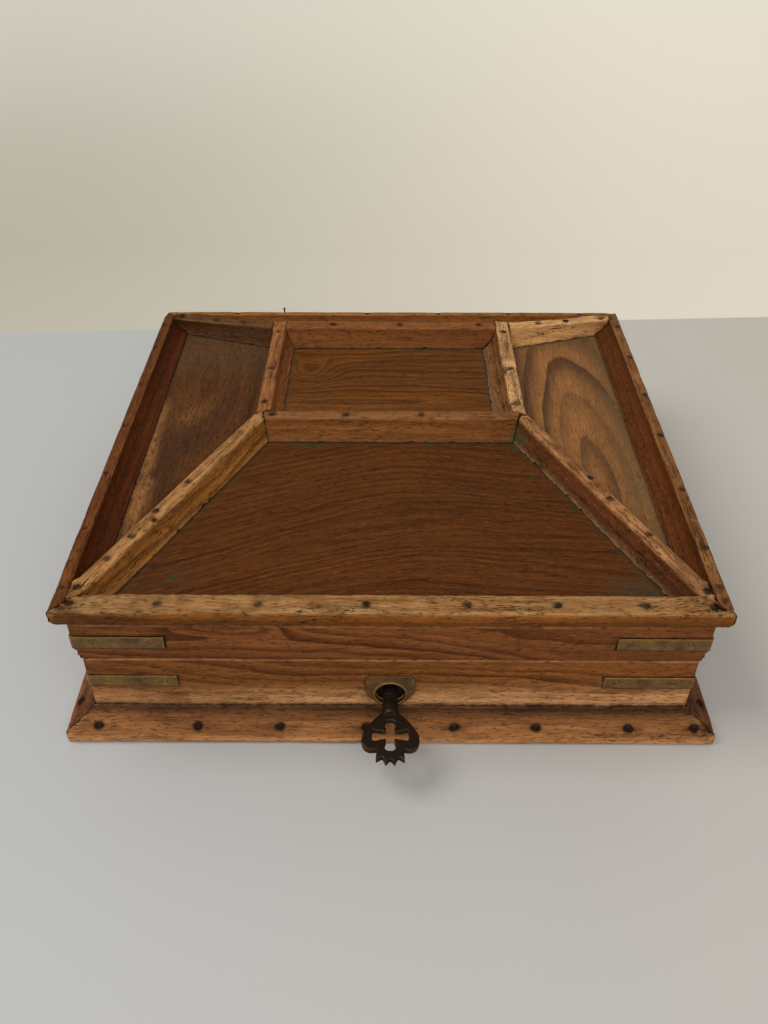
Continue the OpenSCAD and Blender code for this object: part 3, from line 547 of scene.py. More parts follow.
def metal_material(name, clean, tarnish, deep, cover, bump_depth, sheen=0.4):
    """A metal of three tones; `cover` is how much of it tarnish hides, the bump is in mm."""
    material, tree, shader, where = new_material(name)
    surface = place(tree, skin, Vector=where, Clean=colour(*clean), Tarnish=colour(*tarnish),
                    Deep=colour(*deep), Cover=cover, **stored_marks(tree, "rub", "dirt"))
    put(shader.inputs["Base Color"], surface["Colour"])
    put(shader.inputs["Roughness"], surface["Roughness"])
    put(shader.inputs["Metallic"], surface["Clear"])
    shader.inputs["Specular IOR Level"].default_value = sheen
    add_bump(tree, shader, surface["Height"], 0.5, bump_depth * MM)
    return material


old_brass = metal_material("old_brass", (165, 125, 69), (102, 74, 38), (51, 37, 21), 0.55, 0.1)
lock_brass = metal_material("lock_brass", (168, 138, 82), (112, 88, 50), (58, 45, 28), 0.4, 0.05)
rusty_iron = metal_material("rusty_iron", (70, 54, 36), (32, 18, 7), (15, 9, 5), 0.8, 0.2, sheen=0.22)
nail_iron = metal_material("nail_iron", (70, 54, 40), (56, 40, 27), (12, 8, 5), 0.95, 0.1, sheen=0.12)
print("materials: two kinds of brass and two of iron")

# %% [markdown]
# ## Softening a crisp solid
# A drawing has sharp edges, but this box has been opened with greasy hands for a
# century. A copy of a solid is welded, rebuilt as an even skin of small squares
# (the Remesh modifier) and relaxed, so its edges go round. Then numpy moves the
# points: edges that stick out lose chips, flat faces sink a little unevenly and each
# nail sits in a shallow dent. All of it cuts inwards, as wear does.


# %% Copies and skins
WELD = 0.002 * MM


def new_thing(name, mesh):
    made = bpy.data.objects.new(name, mesh)
    bpy.context.scene.collection.objects.link(made)
    return made


def welded_copy(node, name):
    """A copy of a CAD node whose loose triangles are joined at their corners."""
    mesh = NODES[node].data.copy()
    mesh.name = name
    mesh.materials.clear()
    work = bmesh.new()
    work.from_mesh(mesh)
    bmesh.ops.remove_doubles(work, verts=work.verts, dist=WELD)
    work.to_mesh(mesh)
    work.free()
    return new_thing(name, mesh)


def bake(thing):
    """Turns what the modifiers show into the object's own plain mesh."""
    graph = bpy.context.evaluated_depsgraph_get()
    mesh = bpy.data.meshes.new_from_object(thing.evaluated_get(graph), depsgraph=graph)
    thing.modifiers.clear()
    mesh.name = thing.name
    thing.data = mesh
    return thing


def run_tree(thing, tree, values):
    """Runs a Geometry Nodes tree with these inputs and keeps its result."""
    modifier = thing.modifiers.new(tree.name, "NODES")
    modifier.node_group = tree
    for socket in tree.interface.items_tree:
        if socket.in_out == "INPUT" and socket.name in values:
            modifier[socket.identifier] = values[socket.name]
    return bake(thing)


def reskin(thing, size, material):
    """Rebuilds a closed solid from even squares with sides of `size` metres."""
    remesh = thing.modifiers.new("skin", "REMESH")
    remesh.mode = "VOXEL"
    remesh.voxel_size = size
    remesh.use_smooth_shade = True
    bake(thing)
    thing.data.materials.clear()
    thing.data.materials.append(material)
    return thing


def triangles(piece):
    return sum(len(face.vertices) - 2 for face in piece.data.polygons)


def points_of(piece):
    points = np.empty(len(piece.data.vertices) * 3)
    piece.data.vertices.foreach_get("co", points)
    return points.reshape(-1, 3)


print("a skin of squares is ready to use")

# %% [markdown]
# ## Chance that never changes
# Wear has to look random but come out the same each time. So it isn't drawn from
# random numbers: a hash turns the corners of a grid of cubes into fixed values, and
# a point inside a cube blends the values of its eight corners.


# %% Smooth random hills
def lattice_noise(points, size, seed):
    """Smooth random values from 0 to 1, in hills about `size` metres across."""
    at = points / size + 500 + seed * 17.3
    cell = np.floor(at).astype(np.int64)
    part = at - cell
    part = part * part * (3 - 2 * part)
    value = np.zeros(len(points))
    for corner in np.ndindex(2, 2, 2):
        x, y, z = (cell + corner).T
        mixed = (x * 73856093) ^ (y * 19349663) ^ (z * 83492791) ^ (seed * 40503)
        mixed = ((mixed ^ (mixed >> 13)) * 1274126177) & 0xFFFFFFFF
        mixed = (mixed ^ (mixed >> 16)) & 0xFFFF
        weight = np.prod(np.where(corner, part, 1 - part), axis=1)
        value += weight * mixed / 65535
    return value


def step_up(value, low, high):
    part = np.clip((value - low) / (high - low), 0, 1)
    return part * part * (3 - 2 * part)


def hump(*parts):
    """1 where every part is 0, and falling smoothly to nothing where any part is past 2."""
    return np.exp(-sum(part ** 2 for part in parts))


print("hills at four places:", lattice_noise(np.eye(4, 3), 7 * MM, 1).round(2))

# %% [markdown]
# ## Where the nails are
# The dents and black stains belong round the nails, and the nails themselves are
# rebuilt later. Their places are read from the solids: each separate shell of points
# is one nail, and its axis is the direction in which it is a wide disc at one end
# and a thin shank at the other.


# %% Nail places, read from the solids
def shells(node):
    """The separate shells of a CAD node, as arrays of points."""
    work = bmesh.new()
    work.from_mesh(NODES[node].data)
    bmesh.ops.remove_doubles(work, verts=work.verts, dist=WELD)
    seen, groups = set(), []
    for start in work.verts:
        if start in seen:
            continue
        stack, group = [start], []
        seen.add(start)
        while stack:
            vert = stack.pop()
            group.append(vert.co[:])
            for edge in vert.link_edges:
                other = edge.other_vert(vert)
                if other not in seen:
                    seen.add(other)
                    stack.append(other)
        groups.append(np.array(group))
    work.free()
    return groups


def fastener_places(node):
    """The outward axis and the middle of the head's top of each nail or pin of a node."""
    level = 0.02 * MM
    places = []
    for points in shells(node):
        middle = points.mean(0)
        best = None
        for axis in np.linalg.svd(points - middle, full_matrices=False)[2]:
            for way in (axis, -axis):
                along = (points - middle) @ way
                radial = np.linalg.norm((points - middle) - np.outer(along, way), axis=1)
                top = along > along.max() - level
                overhang = radial[top].max() - radial[along < along.min() + level].max()
                uneven = np.ptp(radial[top][radial[top] > radial[top].max() * 0.5])
                if best is None or overhang - uneven > best[0]:
                    best = (overhang - uneven, way, points[top].mean(0))
        places.append(best[1:])
    return places


WOOD_NAILS = ("rim_nails", "bar_nails", "plinth_nails")
FASTENERS = {node: fastener_places(node)
             for node in WOOD_NAILS + ("body_strap_pins", "lid_strap_pins", "escutcheon_pins")}
nail_heads = np.array([top for node in WOOD_NAILS for _, top in FASTENERS[node]])
print({node: len(found) for node, found in FASTENERS.items()},
      sum(len(found) for found in FASTENERS.values()), "in all")

# %% [markdown]
# ## Wear
# Wear depends on the neighbours: an edge that stands free is knocked and rubbed, but
# the same edge tight against another board keeps its shape and gathers dirt instead.
# So each point looks up how far the nearest fitted piece is. The places where three
# pieces meet take the most knocks.

# %% Where wear gathers
# Green marks: place and reach of each, in millimetres.
GREEN_SPOTS = np.array([
    (-50, 0, 70, 3.5), (-46, -2.5, 70, 3), (67.3, 1, 71, 7), (65, 1.5, 74, 4.5), (72, -27, 69, 3),
    (88.4, -55.6, 69, 2.5), (75, 116, 71, 4), (122, 116, 71, 3.5), (-4, -134, 78, 2), (-38, -2, 69.5, 3),
    (-25, -1.5, 69.5, 2), (20, -1.5, 69.5, 2.2), (52, -1.5, 69.5, 2.5), (-97, -104, 69.5, 3),
    (-104, -118, 69.5, 3), (-121, 60, 70, 2)]) * MM
# Where three pieces meet, knocks and dirt gather: place and reach of each.
JUNCTIONS = np.array([
    (-49, 3, 78, 4.5), (67, 3, 78, 5), (-136, -128, 78, 6), (137, -128, 78, 9), (-124, -116, 78, 5),
    (122, -118, 78, 5), (-42, 127, 78, 4), (60, 127, 78, 4), (66, 60, 78, 7), (67, 25, 78, 5),
    (-136, 128, 78, 5), (137, 128, 78, 5), (-145, -138, 6, 5), (145, -138, 8, 5)]) * MM


def round_spots(points, spots):
    """1 at the middle of each spot, falling off over its reach."""
    return np.max([hump(np.linalg.norm(points - spot[:3], axis=1) / spot[3]) for spot in spots], 0)


def near(points, centres):
    """Distance from each point to the nearest centre."""
    best = np.full(len(points), 9.0)
    for centre in centres:
        best = np.minimum(best, np.linalg.norm(points - centre, axis=1))
    return best


print(len(JUNCTIONS), "junctions,", len(GREEN_SPOTS), "green spots")


# %% Looking up the neighbours
def search_tree(things):
    """One search tree over the faces of several things."""
    corners, faces = [], []
    for thing in things:
        start = len(corners)
        corners += [tuple(v.co) for v in thing.data.vertices]
        faces += [tuple(i + start for i in face.vertices) for face in thing.data.polygons]
    return BVHTree.FromPolygons(corners, faces)


def box_of(node):
    """The lowest and highest corner of a CAD node."""
    return [np.array(corner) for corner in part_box(node)]


def fitted_against(node):
    """The solids of the same body that touch a node's box, without nails and screws."""
    low, high = box_of(node)
    found = []
    for other, thing in NODES.items():
        if (other == node or thing["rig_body"] != NODES[node]["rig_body"]
                or other.endswith(("nails", "pins", "screws"))):
            continue
        its_low, its_high = box_of(other)
        if not ((its_low > high + MM).any() or (its_high < low - MM).any()):
            found.append(thing)
    return found


def gap_to(tree, points, reach=8 * MM):
    """Millimetres from each point to the nearest fitted piece, at most `reach`."""
    found = (tree.find_nearest(Vector(point), reach) for point in points)
    return np.array([hit[3] if hit[0] is not None else reach for hit in found]) / MM


print("the cross bar is fitted against", len(fitted_against("bar_cross")), "other solids")


# %% Relaxing a skin
def edges_of(mesh):
    """The two ends of each edge, and how many neighbours each point has."""
    edges = np.empty(len(mesh.edges) * 2, np.int64)
    mesh.edges.foreach_get("vertices", edges)
    count = np.maximum(np.bincount(edges, minlength=len(mesh.vertices)), 1)
    return edges.reshape(-1, 2), count


def relaxed(points, edges, count, rounds, share):
    """Draws each point a share of the way to the middle of its neighbours, in rounds."""
    for _ in range(rounds):
        total = np.zeros_like(points)
        for one, other in ((0, 1), (1, 0)):
            for axis in range(3):
                total[:, axis] += np.bincount(edges[:, one], points[edges[:, other], axis], len(points))
        points = points * (1 - share) + total / count[:, None] * share
    return points


def round_uprights(points, radius):
    """Rounds a piece's outermost upright corners, counted from the middle of the box."""
    past = np.abs(points[:, :2]) - (np.abs(points[:, :2]).max(0) - radius)
    reach = np.maximum(np.linalg.norm(past, axis=1), 1e-9)
    pull = np.where((past > 0).all(1) & (reach > radius), radius / reach, 1)
    points[:, :2] -= np.sign(points[:, :2]) * past * (1 - pull)[:, None]


def move_points(mesh, points):
    mesh.vertices.foreach_set("co", points.ravel())
    mesh.update()


def normals_of(mesh):
    normals = np.empty(len(mesh.vertices) * 3)
    mesh.vertices.foreach_get("normal", normals)
    return normals.reshape(-1, 3)


print("a relaxed point goes to the middle of its neighbours")

# %% Cutting wear into a skin
BROAD, MEDIUM, FINE = 28 * MM, 7 * MM, 2.2 * MM  # how wide the hills of wear are


def wear(piece, node, seed, size, soften=3, chip=0.7, ripple=0.2, dent=0.3, corner=0.0, top=0.0,
         top_from=75.0, stain=0.9):
    """Relaxes a skin, cuts wear into it and stores the marks that its material reads.

    `size` is the side of the skin's squares in metres and `soften` counts the rounds of
    relaxing. `chip`, `ripple` and `dent` are depths, `corner` is the radius of the
    upright corners and `stain` is how far a nail's black reaches, all in millimetres.
    `top` is how pale the level faces above the height `top_from` are rubbed.
    """
    mesh = piece.data
    points = points_of(piece)
    edges, count = edges_of(mesh)
    low, high = points.min(0), points.max(0)
    if corner:
        round_uprights(points, corner * MM)
    fitted = points.copy()
    gap = gap_to(search_tree(fitted_against(node)), points)
    points = relaxed(points, edges, count, soften, 0.5)
    move_points(mesh, points)
    normals = normals_of(mesh)

    # A much softer copy tells edges, which stick out of it, from hollows, which lie in it.
    soft = relaxed(points, edges, count, max(3, round(2.4 * MM / size) ** 2), 0.6)
    bulge = ((points - soft) * normals).sum(1) / MM
    edge_like = step_up(bulge, 0.10, 0.42)
    hollow = step_up(-bulge, 0.05, 0.30)
    broad = lattice_noise(points, BROAD, seed)
    medium = lattice_noise(points, MEDIUM, seed + 1)
    fine = lattice_noise(points, FINE, seed + 2)
    knocked = round_spots(points, JUNCTIONS)
    to_nail = near(points, nail_heads) / MM

    # How deep wear cuts. A point that is tight against another piece keeps its place.
    depth = edge_like * (step_up(medium * 0.6 + fine * 0.4, 0.5, 0.85) * chip + 0.12 * chip)
    depth += 0.9 * knocked * step_up(fine * 0.6 + medium * 0.4, 0.45, 0.7) * chip
    depth += ripple * (0.6 * broad + 0.4 * medium)
    depth += dent * hump(to_nail / 2.6)
    loose = step_up(medium * 0.5 + fine * 0.5 + 0.2 * (chip - 0.7), 0.62, 0.8)
    free = np.maximum(step_up(gap, 0.3, 2.2), 0.8 * loose)
    points = points - normals * (depth * MM)[:, None]
    points = fitted + (points - fitted) * free[:, None]
    points = np.clip(points, low, high)
    mesh.vertices.foreach_set("co", points.ravel())

    level = step_up(normals[:, 2], 0.35, 0.95) * step_up(points[:, 2] / MM, top_from, top_from + 2)
    marks = {
        "dry": 0.9 * knocked + 0.5 * top * step_up(medium, 0.5, 0.8) + 0.6 * hump(to_nail / 5) * fine,
        "rub": edge_like * (0.3 + 0.9 * broad) * (0.35 + 0.65 * free)
        + top * level * (0.35 + 0.65 * medium),
        # Dirt in the joints and at the knocks, and painted shade in the hollows.
        "dirt": np.exp(-gap / 0.55) * (0.45 + 0.8 * fine) + 0.5 * hollow * medium
        + 0.9 * knocked * step_up(fine, 0.3, 0.6),
        "dust": 0.5 * hollow * step_up(broad, 0.35, 0.7),
        "green": 1.4 * round_spots(points, GREEN_SPOTS) - 0.25 + 0.5 * (fine - 0.5)}
    marks = {mark: np.clip(values, 0, 1) for mark, values in marks.items()}
    marks["stain"] = hump(np.maximum(to_nail - 1.3, 0) / stain) * (0.5 + 0.7 * fine)
    for mark, values in marks.items():
        layer = mesh.attributes.new(mark, "FLOAT", "POINT")
        layer.data.foreach_set("value", values.astype(np.float32))
    mesh.shade_smooth()
    mesh.update()
    return gap


print("wear is cut in hills of", [round(v / MM, 1) for v in (BROAD, MEDIUM, FINE)], "mm")


# %% Marks and pieces
def add_mark(piece, mark, values):
    """Adds to a stored mark; past 1 it shows through even where the skin is patchy."""
    layer = piece.data.attributes[mark]
    old = np.empty(len(values), np.float32)
    layer.data.foreach_get("value", old)
    layer.data.foreach_set("value", np.clip(old + values, 0, 1.6).astype(np.float32))


MADE = {}


def worn_solid(node, size, material, seed, **settings):
    """Makes a node's visible piece from its own solid. Returns it and its gaps to others."""
    piece = reskin(welded_copy(node, node + "_worn"), size, material)
    gap = wear(piece, node, seed, size, **settings)
    MADE[node] = piece
    return piece, gap


print("a solid can be worn and kept as its piece")

# %% [markdown]
# ## The mouldings
# The rim round the lid and the plinth round the foot are each four lengths of one
# moulding, mitred at the corners, so a Geometry Nodes tree makes all eight. The
# object it works on is just the outline, drawn once. The tree sweeps the outline
# along a straight line, slants both ends to a mitre, rounds the corners that hands
# have rounded, turns the length to its side and gives it its wood. Modelling one
# length and mirroring it would be quicker, but each length here has its own corners.

# %% Moulding tree: the sweep
moulding, given, made_out = new_tree("GeometryNodeTree", "moulding", [
    ("Geometry", "Geometry"), ("Length", "Float"), ("Start Radius", "Float"), ("End Radius", "Float"),
    ("Turn", "Float"), ("Out", "Float"), ("Spacing", "Float"), ("Uneven", "Float"),
    ("Seed", "Float"), ("Wood", "Material")], [("Geometry", "Geometry")])
moulding.is_modifier = True
outline = add(moulding, "GeometryNodeMeshToCurve", {"Mesh": given["Geometry"]})
half = given["Length"] * 0.5
line = add(moulding, "GeometryNodeCurvePrimitiveLine", {
    "Start": combine(moulding, half * -1, 0, 0), "End": combine(moulding, half, 0, 0)})
evenly = add(moulding, "GeometryNodeResampleCurve",
             {"Curve": line.outputs[0], "Length": given["Spacing"]}, mode="LENGTH")
upright = add(moulding, "GeometryNodeSetCurveNormal", {"Curve": evenly.outputs[0]}, mode="Z_UP")
swept = add(moulding, "GeometryNodeCurveToMesh", {
    "Curve": upright.outputs[0], "Profile Curve": outline.outputs[0], "Fill Caps": True})
print("moulding tree:", len(moulding.nodes), "nodes for the sweep")


# %% Moulding tree: mitre, corners and planing
def at_least(a, b):
    return maths(moulding, "MAXIMUM", a, b)


def is_over(a, b):
    return maths(moulding, "GREATER_THAN", a, b)


position = add(moulding, "GeometryNodeInputPosition").outputs[0]
s_at, y_in, z_up = split(moulding, position)
# The mitre: a point that lies deeper in is also nearer the middle of the length.
s_mitred = s_at * (1 - y_in / half)
# The rounded corners: nothing reaches further from a corner's centre than its radius.
side_sign = maths(moulding, "SIGN", s_mitred)
at_end = is_over(s_mitred, 0)
radius = at_end * given["End Radius"] + (1 - at_end) * given["Start Radius"]
past = maths(moulding, "ABSOLUTE", s_mitred) - (half - radius)
outer = radius - y_in
past_in, outer_in = at_least(past, 0), at_least(outer, 0)
reach = root_of_squares(moulding, past_in, outer_in)
in_corner = is_over(past, 0) * is_over(outer, 0)
pull = in_corner * (radius / at_least(at_least(reach, radius), 1e-6)) + (1 - in_corner)
s_round = s_mitred - side_sign * (past_in * (1 - pull))
y_round = y_in + outer_in * (1 - pull)
# A hand plane wanders: the outer face sinks in a little here and there.
wobble = add(moulding, "ShaderNodeTexNoise",
             {"Vector": position, "W": given["Seed"], "Scale": 22, "Detail": 1}, noise_dimensions="4D")
sink = (Value(moulding, wobble.outputs["Fac"]) - 0.5) * given["Uneven"]
turned = add(moulding, "ShaderNodeVectorRotate", {
    "Vector": combine(moulding, s_round, y_round - given["Out"] + sink, z_up), "Angle": given["Turn"]},
    rotation_type="Z_AXIS")
moved = add(moulding, "GeometryNodeSetPosition",
            {"Geometry": swept.outputs[0], "Position": turned.outputs[0]})


def finish_tree(tree, geometry, material, out):
    """Ends a tree as the export needs it: real meshes, with their material set."""
    real = add(tree, "GeometryNodeRealizeInstances", {"Geometry": geometry.outputs[0]})
    dressed = add(tree, "GeometryNodeSetMaterial", {"Geometry": real.outputs[0], "Material": material})
    put(out[0], dressed.outputs[0])


finish_tree(moulding, moved, given["Wood"], made_out)
print("moulding tree:", len(moulding.nodes), "nodes")


# %% Outlines of the two mouldings, y inwards and z up, in millimetres
def arc(start, end, radius, side, steps=10):
    """Points of an arc from start to end; side 1 hollows it, -1 makes it bulge."""
    start, end = np.array(start, float), np.array(end, float)
    chord = end - start
    across = np.array([chord[1], -chord[0]]) / np.linalg.norm(chord)
    centre = (start + end) / 2 + side * math.sqrt(radius ** 2 - (chord @ chord) / 4) * across
    first, last = (math.atan2(*(p - centre)[::-1]) for p in (start, end))
    turn = (last - first + 3 * math.pi) % (2 * math.pi) - math.pi
    angles = [first + turn * i / steps for i in range(steps + 1)]
    return [tuple(centre + radius * np.array([math.cos(a), math.sin(a)])) for a in angles]


LID_TOP, TRAY_FLOOR, RIM_FOOT = 78.1, 69.0, 66.8


def rim_outline(flat, deeper):
    """`flat` is where the level top ends; `deeper` is how much wider the side lengths are."""
    return ([(10.15 + deeper, RIM_FOOT), (10.15 + deeper, TRAY_FLOOR), (14.4 + deeper, TRAY_FLOOR),
             (14.4 + deeper, 69.8), (14 + deeper, 70.2)]
            + arc((13.5 + deeper, 70.2), (flat, LID_TOP), 10, 1)
            + arc((2, LID_TOP), (0, 76.1), 2, -1) + arc((0, 74.6), (4.51, RIM_FOOT), 9, -1))


PLINTH_OUTLINE = ([(0.5, 0), (12.7, 0), (12.7, 13), (11.5, 13)] + arc((11.5, 12.6), (8.3, 10.1), 4, 1)
                  + arc((2.5, 7.2), (0, 4.2), 3.6, -1) + [(0, 0.5)])


def length_of_moulding(name, outline, side, size, radii, material, uneven, seed):
    """One mitred length of a frame of this size, on side 0 front, 1 right, 2 back or 3 left."""
    points = [(-y * MM, -z * MM, 0) for y, z in outline]
    mesh = bpy.data.meshes.new(name)
    mesh.from_pydata(points, [(i, (i + 1) % len(points)) for i in range(len(points))], [])
    return run_tree(new_thing(name, mesh), moulding, {
        "Length": size[side % 2] * MM, "Out": size[(side + 1) % 2] * MM / 2,
        "Turn": math.radians(90 * side), "Start Radius": radii[side] * MM,
        "End Radius": radii[(side + 1) % 4] * MM, "Spacing": 2 * MM, "Uneven": uneven * MM,
        "Seed": float(seed), "Wood": material})


def volume(thing):
    """A closed mesh's volume in cubic centimetres."""
    work = bmesh.new()
    work.from_mesh(thing.data)
    cubic = work.calc_volume(signed=True)
    work.free()
    return cubic / (10 * MM) ** 3


print("points of the rim's outline:", len(rim_outline(12.2, 0)), "of the plinth's:", len(PLINTH_OUTLINE))

# %% [markdown]
# ## The rim
# Hands meet the rim's flat top first, so it is rubbed paler than its coves. Its front
# length is the widest, and its left one is coloured the darkest. The back corners were
# rounded off more than the front ones. A pale line is painted along the rim's foot,
# where it stands out over the lid's boards: a painted highlight, with some rubbing.

# %% Rim
RIM_SIZE, RIM_CORNERS, RIM_SKIN = (289, 271.5), (1.2, 1.2, 4, 9), 0.75 * MM
RIMS = {
    "front": (dict(light=(139, 82, 33), dark=(83, 46, 16), rubbed=(167, 130, 83), cracks=1.0),
              dict(flat=12.2, deeper=0), dict(top=1.0, chip=1.1, stain=0.9)),
    "right": (dict(light=(99, 52, 18), dark=(60, 28, 7), rubbed=(146, 103, 60), cracks=0.7),
              dict(flat=6.45, deeper=1.25), dict(top=0.9, chip=1.1, stain=0.8)),
    "back": (dict(light=(137, 83, 36), dark=(90, 48, 18), rubbed=(167, 115, 57), cracks=0.7),
             dict(flat=5.2, deeper=0), dict(top=0.8, chip=0.9, stain=0.6)),
    "left": (dict(light=(88, 39, 8), dark=(50, 19, 4), rubbed=(125, 78, 38), cracks=0.6),
             dict(flat=6.45, deeper=1.25), dict(top=0.7, chip=0.7, stain=0.3))}
for k, (side, (look, shape, age)) in enumerate(RIMS.items()):
    node = "rim_" + side
    tone = wood(node + "_wood", turn=90 * k, middle=(0, 0, 0.02 + 0.01 * k), ring=0.0045, slope=0.02,
                **look)
    piece = length_of_moulding(node + "_worn", rim_outline(**shape), k, RIM_SIZE, RIM_CORNERS, tone,
                               uneven=0.5, seed=k + 1)
    print(piece.name, round(volume(piece), 1), "cm3 before wear")
    wear(reskin(piece, RIM_SKIN, tone), node, 10 + k, RIM_SKIN, soften=4, ripple=0.3, **age)
    spots = points_of(piece)
    # Painted highlight, with some rubbing: a pale line along the rim's foot.
    foot = hump((spots[:, 2] / MM - 67.3) / 0.7) * lattice_noise(spots, 18 * MM, 40 + k)
    add_mark(piece, "rub", 1.2 * foot)
    if side == "front":
        west = step_up(-spots[:, 0] / MM, -10, 60)
        add_mark(piece, "dirt", 0.5 * west * lattice_noise(spots * np.array([0.4, 1, 1]), 5 * MM, 44))
    MADE[node] = piece
    print(piece.name, triangles(piece), "triangles")

# %% [markdown]
# ## The plinth
# The plinth is nailed through its slope. Iron bleeds in damp wood, and the black
# runs along the grain, so each nail gets a long smear of its own length. The groove
# at the top holds dirt and dust, and is painted darker still as shade under the wall,
# in a patchy mark and a steady dark band. The lower edge has been rubbed pale by cloths.

# %% Plinth
PLINTH_SIZE, PLINTH_CORNERS, PLINTH_SKIN = (300, 285), (3, 3, 3, 3), 0.8 * MM
PLINTH_WOOD = {
    "front": dict(light=(164, 108, 61), dark=(109, 65, 34), rubbed=(199, 141, 90)),
    "right": dict(light=(128, 80, 45), dark=(83, 48, 25), rubbed=(167, 117, 74)),
    "back": dict(light=(134, 87, 48), dark=(87, 52, 28), rubbed=(167, 117, 74)),
    "left": dict(light=(128, 78, 45), dark=(78, 43, 23), rubbed=(165, 112, 70))}


def iron_smears(spots, run_way):
    """The black that has run along the grain from each plinth nail; run_way is its axis."""
    smear = np.zeros(len(spots))
    for _, head in FASTENERS["plinth_nails"]:
        gap = (spots - head) / MM
        at_head = head[None, :]
        reach = 5 + 14 * lattice_noise(at_head, 9 * MM, 45)[0]
        shift = 6 * (lattice_noise(at_head, 7 * MM, 48)[0] - 0.5)
        smear = np.maximum(smear, hump((gap[:, run_way] - shift) / reach, (gap[:, 2] + 0.3) / 1.1,
                                       gap[:, 1 - run_way] / 2.6))
    return smear * (0.3 + 0.9 * lattice_noise(spots * np.array([1, 1, 4]), 4 * MM, 46))


for k, (side, look) in enumerate(PLINTH_WOOD.items()):
    node = "plinth_" + side
    tone = wood(node + "_wood", turn=90 * k, middle=(0, 0, -0.03 - 0.01 * k), ring=0.005, slope=0.015,
                cracks=0.8, streaks=1.6, contrast=0.9, **look)
    piece = length_of_moulding(node + "_worn", PLINTH_OUTLINE, k, PLINTH_SIZE, PLINTH_CORNERS, tone,
                               uneven=0.4, seed=k + 11)
    wear(reskin(piece, PLINTH_SKIN, tone), node, 20 + k, PLINTH_SKIN, soften=4, chip=0.8, ripple=0.25,
         top=0.2, stain=1.1, top_from=0)
    spots = points_of(piece)
    height = spots[:, 2] / MM
    # Painted shade with some grime: the cove under the wall is darkened, patchily and in a steady band
    # stored with the stains.
    cove_grime_and_shade = hump((height - 11.4) / 2.2) * lattice_noise(spots, 20 * MM, 25 + k)
    band = hump((height - 11.6) / 1.9) * (0.7 + 0.4 * lattice_noise(spots, 30 * MM, 47))
    add_mark(piece, "dirt", 0.7 * cove_grime_and_shade + 0.3 * step_up(height, 10.5, 12.5))
    add_mark(piece, "stain", 0.85 * band)
    add_mark(piece, "stain", 0.62 * iron_smears(spots, k % 2))
    add_mark(piece, "dust", 0.8 * step_up(height, 11.8, 12.8) * lattice_noise(spots, 14 * MM, 35 + k))
    add_mark(piece, "rub", 1.3 * step_up(height, 6.5, 3) * lattice_noise(spots, 30 * MM, 28 + k) ** 0.5)
    MADE[node] = piece
    print(piece.name, triangles(piece), "triangles")

# %% [markdown]
# ## The bars
# The bars that divide the lid were planed by hand and fitted one by one, so each is
# its own shape: the uprights are narrower, the corner bars fade out, the diagonals
# meet the rim at a slant. Their solids already hold those fits, so they are copied
# and worn. Their grain runs along each bar, and dust lies along each bar's foot.

# %% Bars
BAR_SKIN = 0.7 * MM
BAR_WOOD = {
    "bar_cross": dict(light=(121, 74, 33), dark=(84, 45, 16), rubbed=(135, 94, 58), turn=0),
    "bar_upright_left": dict(light=(135, 79, 37), dark=(90, 49, 20), rubbed=(163, 114, 67), turn=90),
    "bar_upright_right": dict(light=(127, 83, 44), dark=(86, 51, 26), rubbed=(232, 179, 123), turn=90,
                              dust=(128, 112, 90)),
    "bar_back": dict(light=(115, 67, 30), dark=(80, 42, 15), rubbed=(146, 90, 47), turn=0,
                     knot=(0.046, 0.110, 0.020), knot_size=0.005, knot_length=2.5),
    "bar_diagonal_left": dict(light=(141, 89, 36), dark=(81, 46, 16), rubbed=(198, 147, 94), turn=64.7,
                              streaks=1.5, contrast=0.8),
    "bar_diagonal_right": dict(light=(91, 50, 21), dark=(53, 24, 9), rubbed=(197, 140, 88), turn=115.3,
                               dust=(150, 122, 84)),
    "bar_corner_left": dict(light=(79, 48, 22), dark=(50, 29, 12), rubbed=(112, 74, 40), turn=170.4),
    "bar_corner_right": dict(light=(193, 142, 88), dark=(150, 103, 58), rubbed=(217, 171, 115), turn=9.6)}
# How chipped each bar is, how many rounds it is relaxed and how dusty its foot is.
BAR_AGE = {
    "bar_upright_left": (0.9, 34, 0.6), "bar_upright_right": (1.8, 20, 0.9),
    "bar_diagonal_left": (0.9, 34, 0.5), "bar_diagonal_right": (1.2, 30, 1.1),
    "bar_corner_left": (1.1, 9, 0.35), "bar_corner_right": (1.3, 9, 0.35)}
for order, (node, look) in enumerate(BAR_WOOD.items()):
    chip, soften, dusty = BAR_AGE.get(node, (0.9, 9, 0.35))
    tone = wood(node + "_wood", middle=(0, 0.01, 0.03 + 0.008 * order), ring=0.0045, slope=0.03,
                cracks=0.9, **look)
    piece, _ = worn_solid(node, BAR_SKIN, tone, 30 + order, soften=soften, chip=chip, ripple=0.3, top=0.9)
    above_foot = np.maximum(0, points_of(piece)[:, 2] / MM - 69.4)
    add_mark(piece, "dust", dusty * np.exp(-above_foot / 0.5))
    print(piece.name, triangles(piece), "triangles")
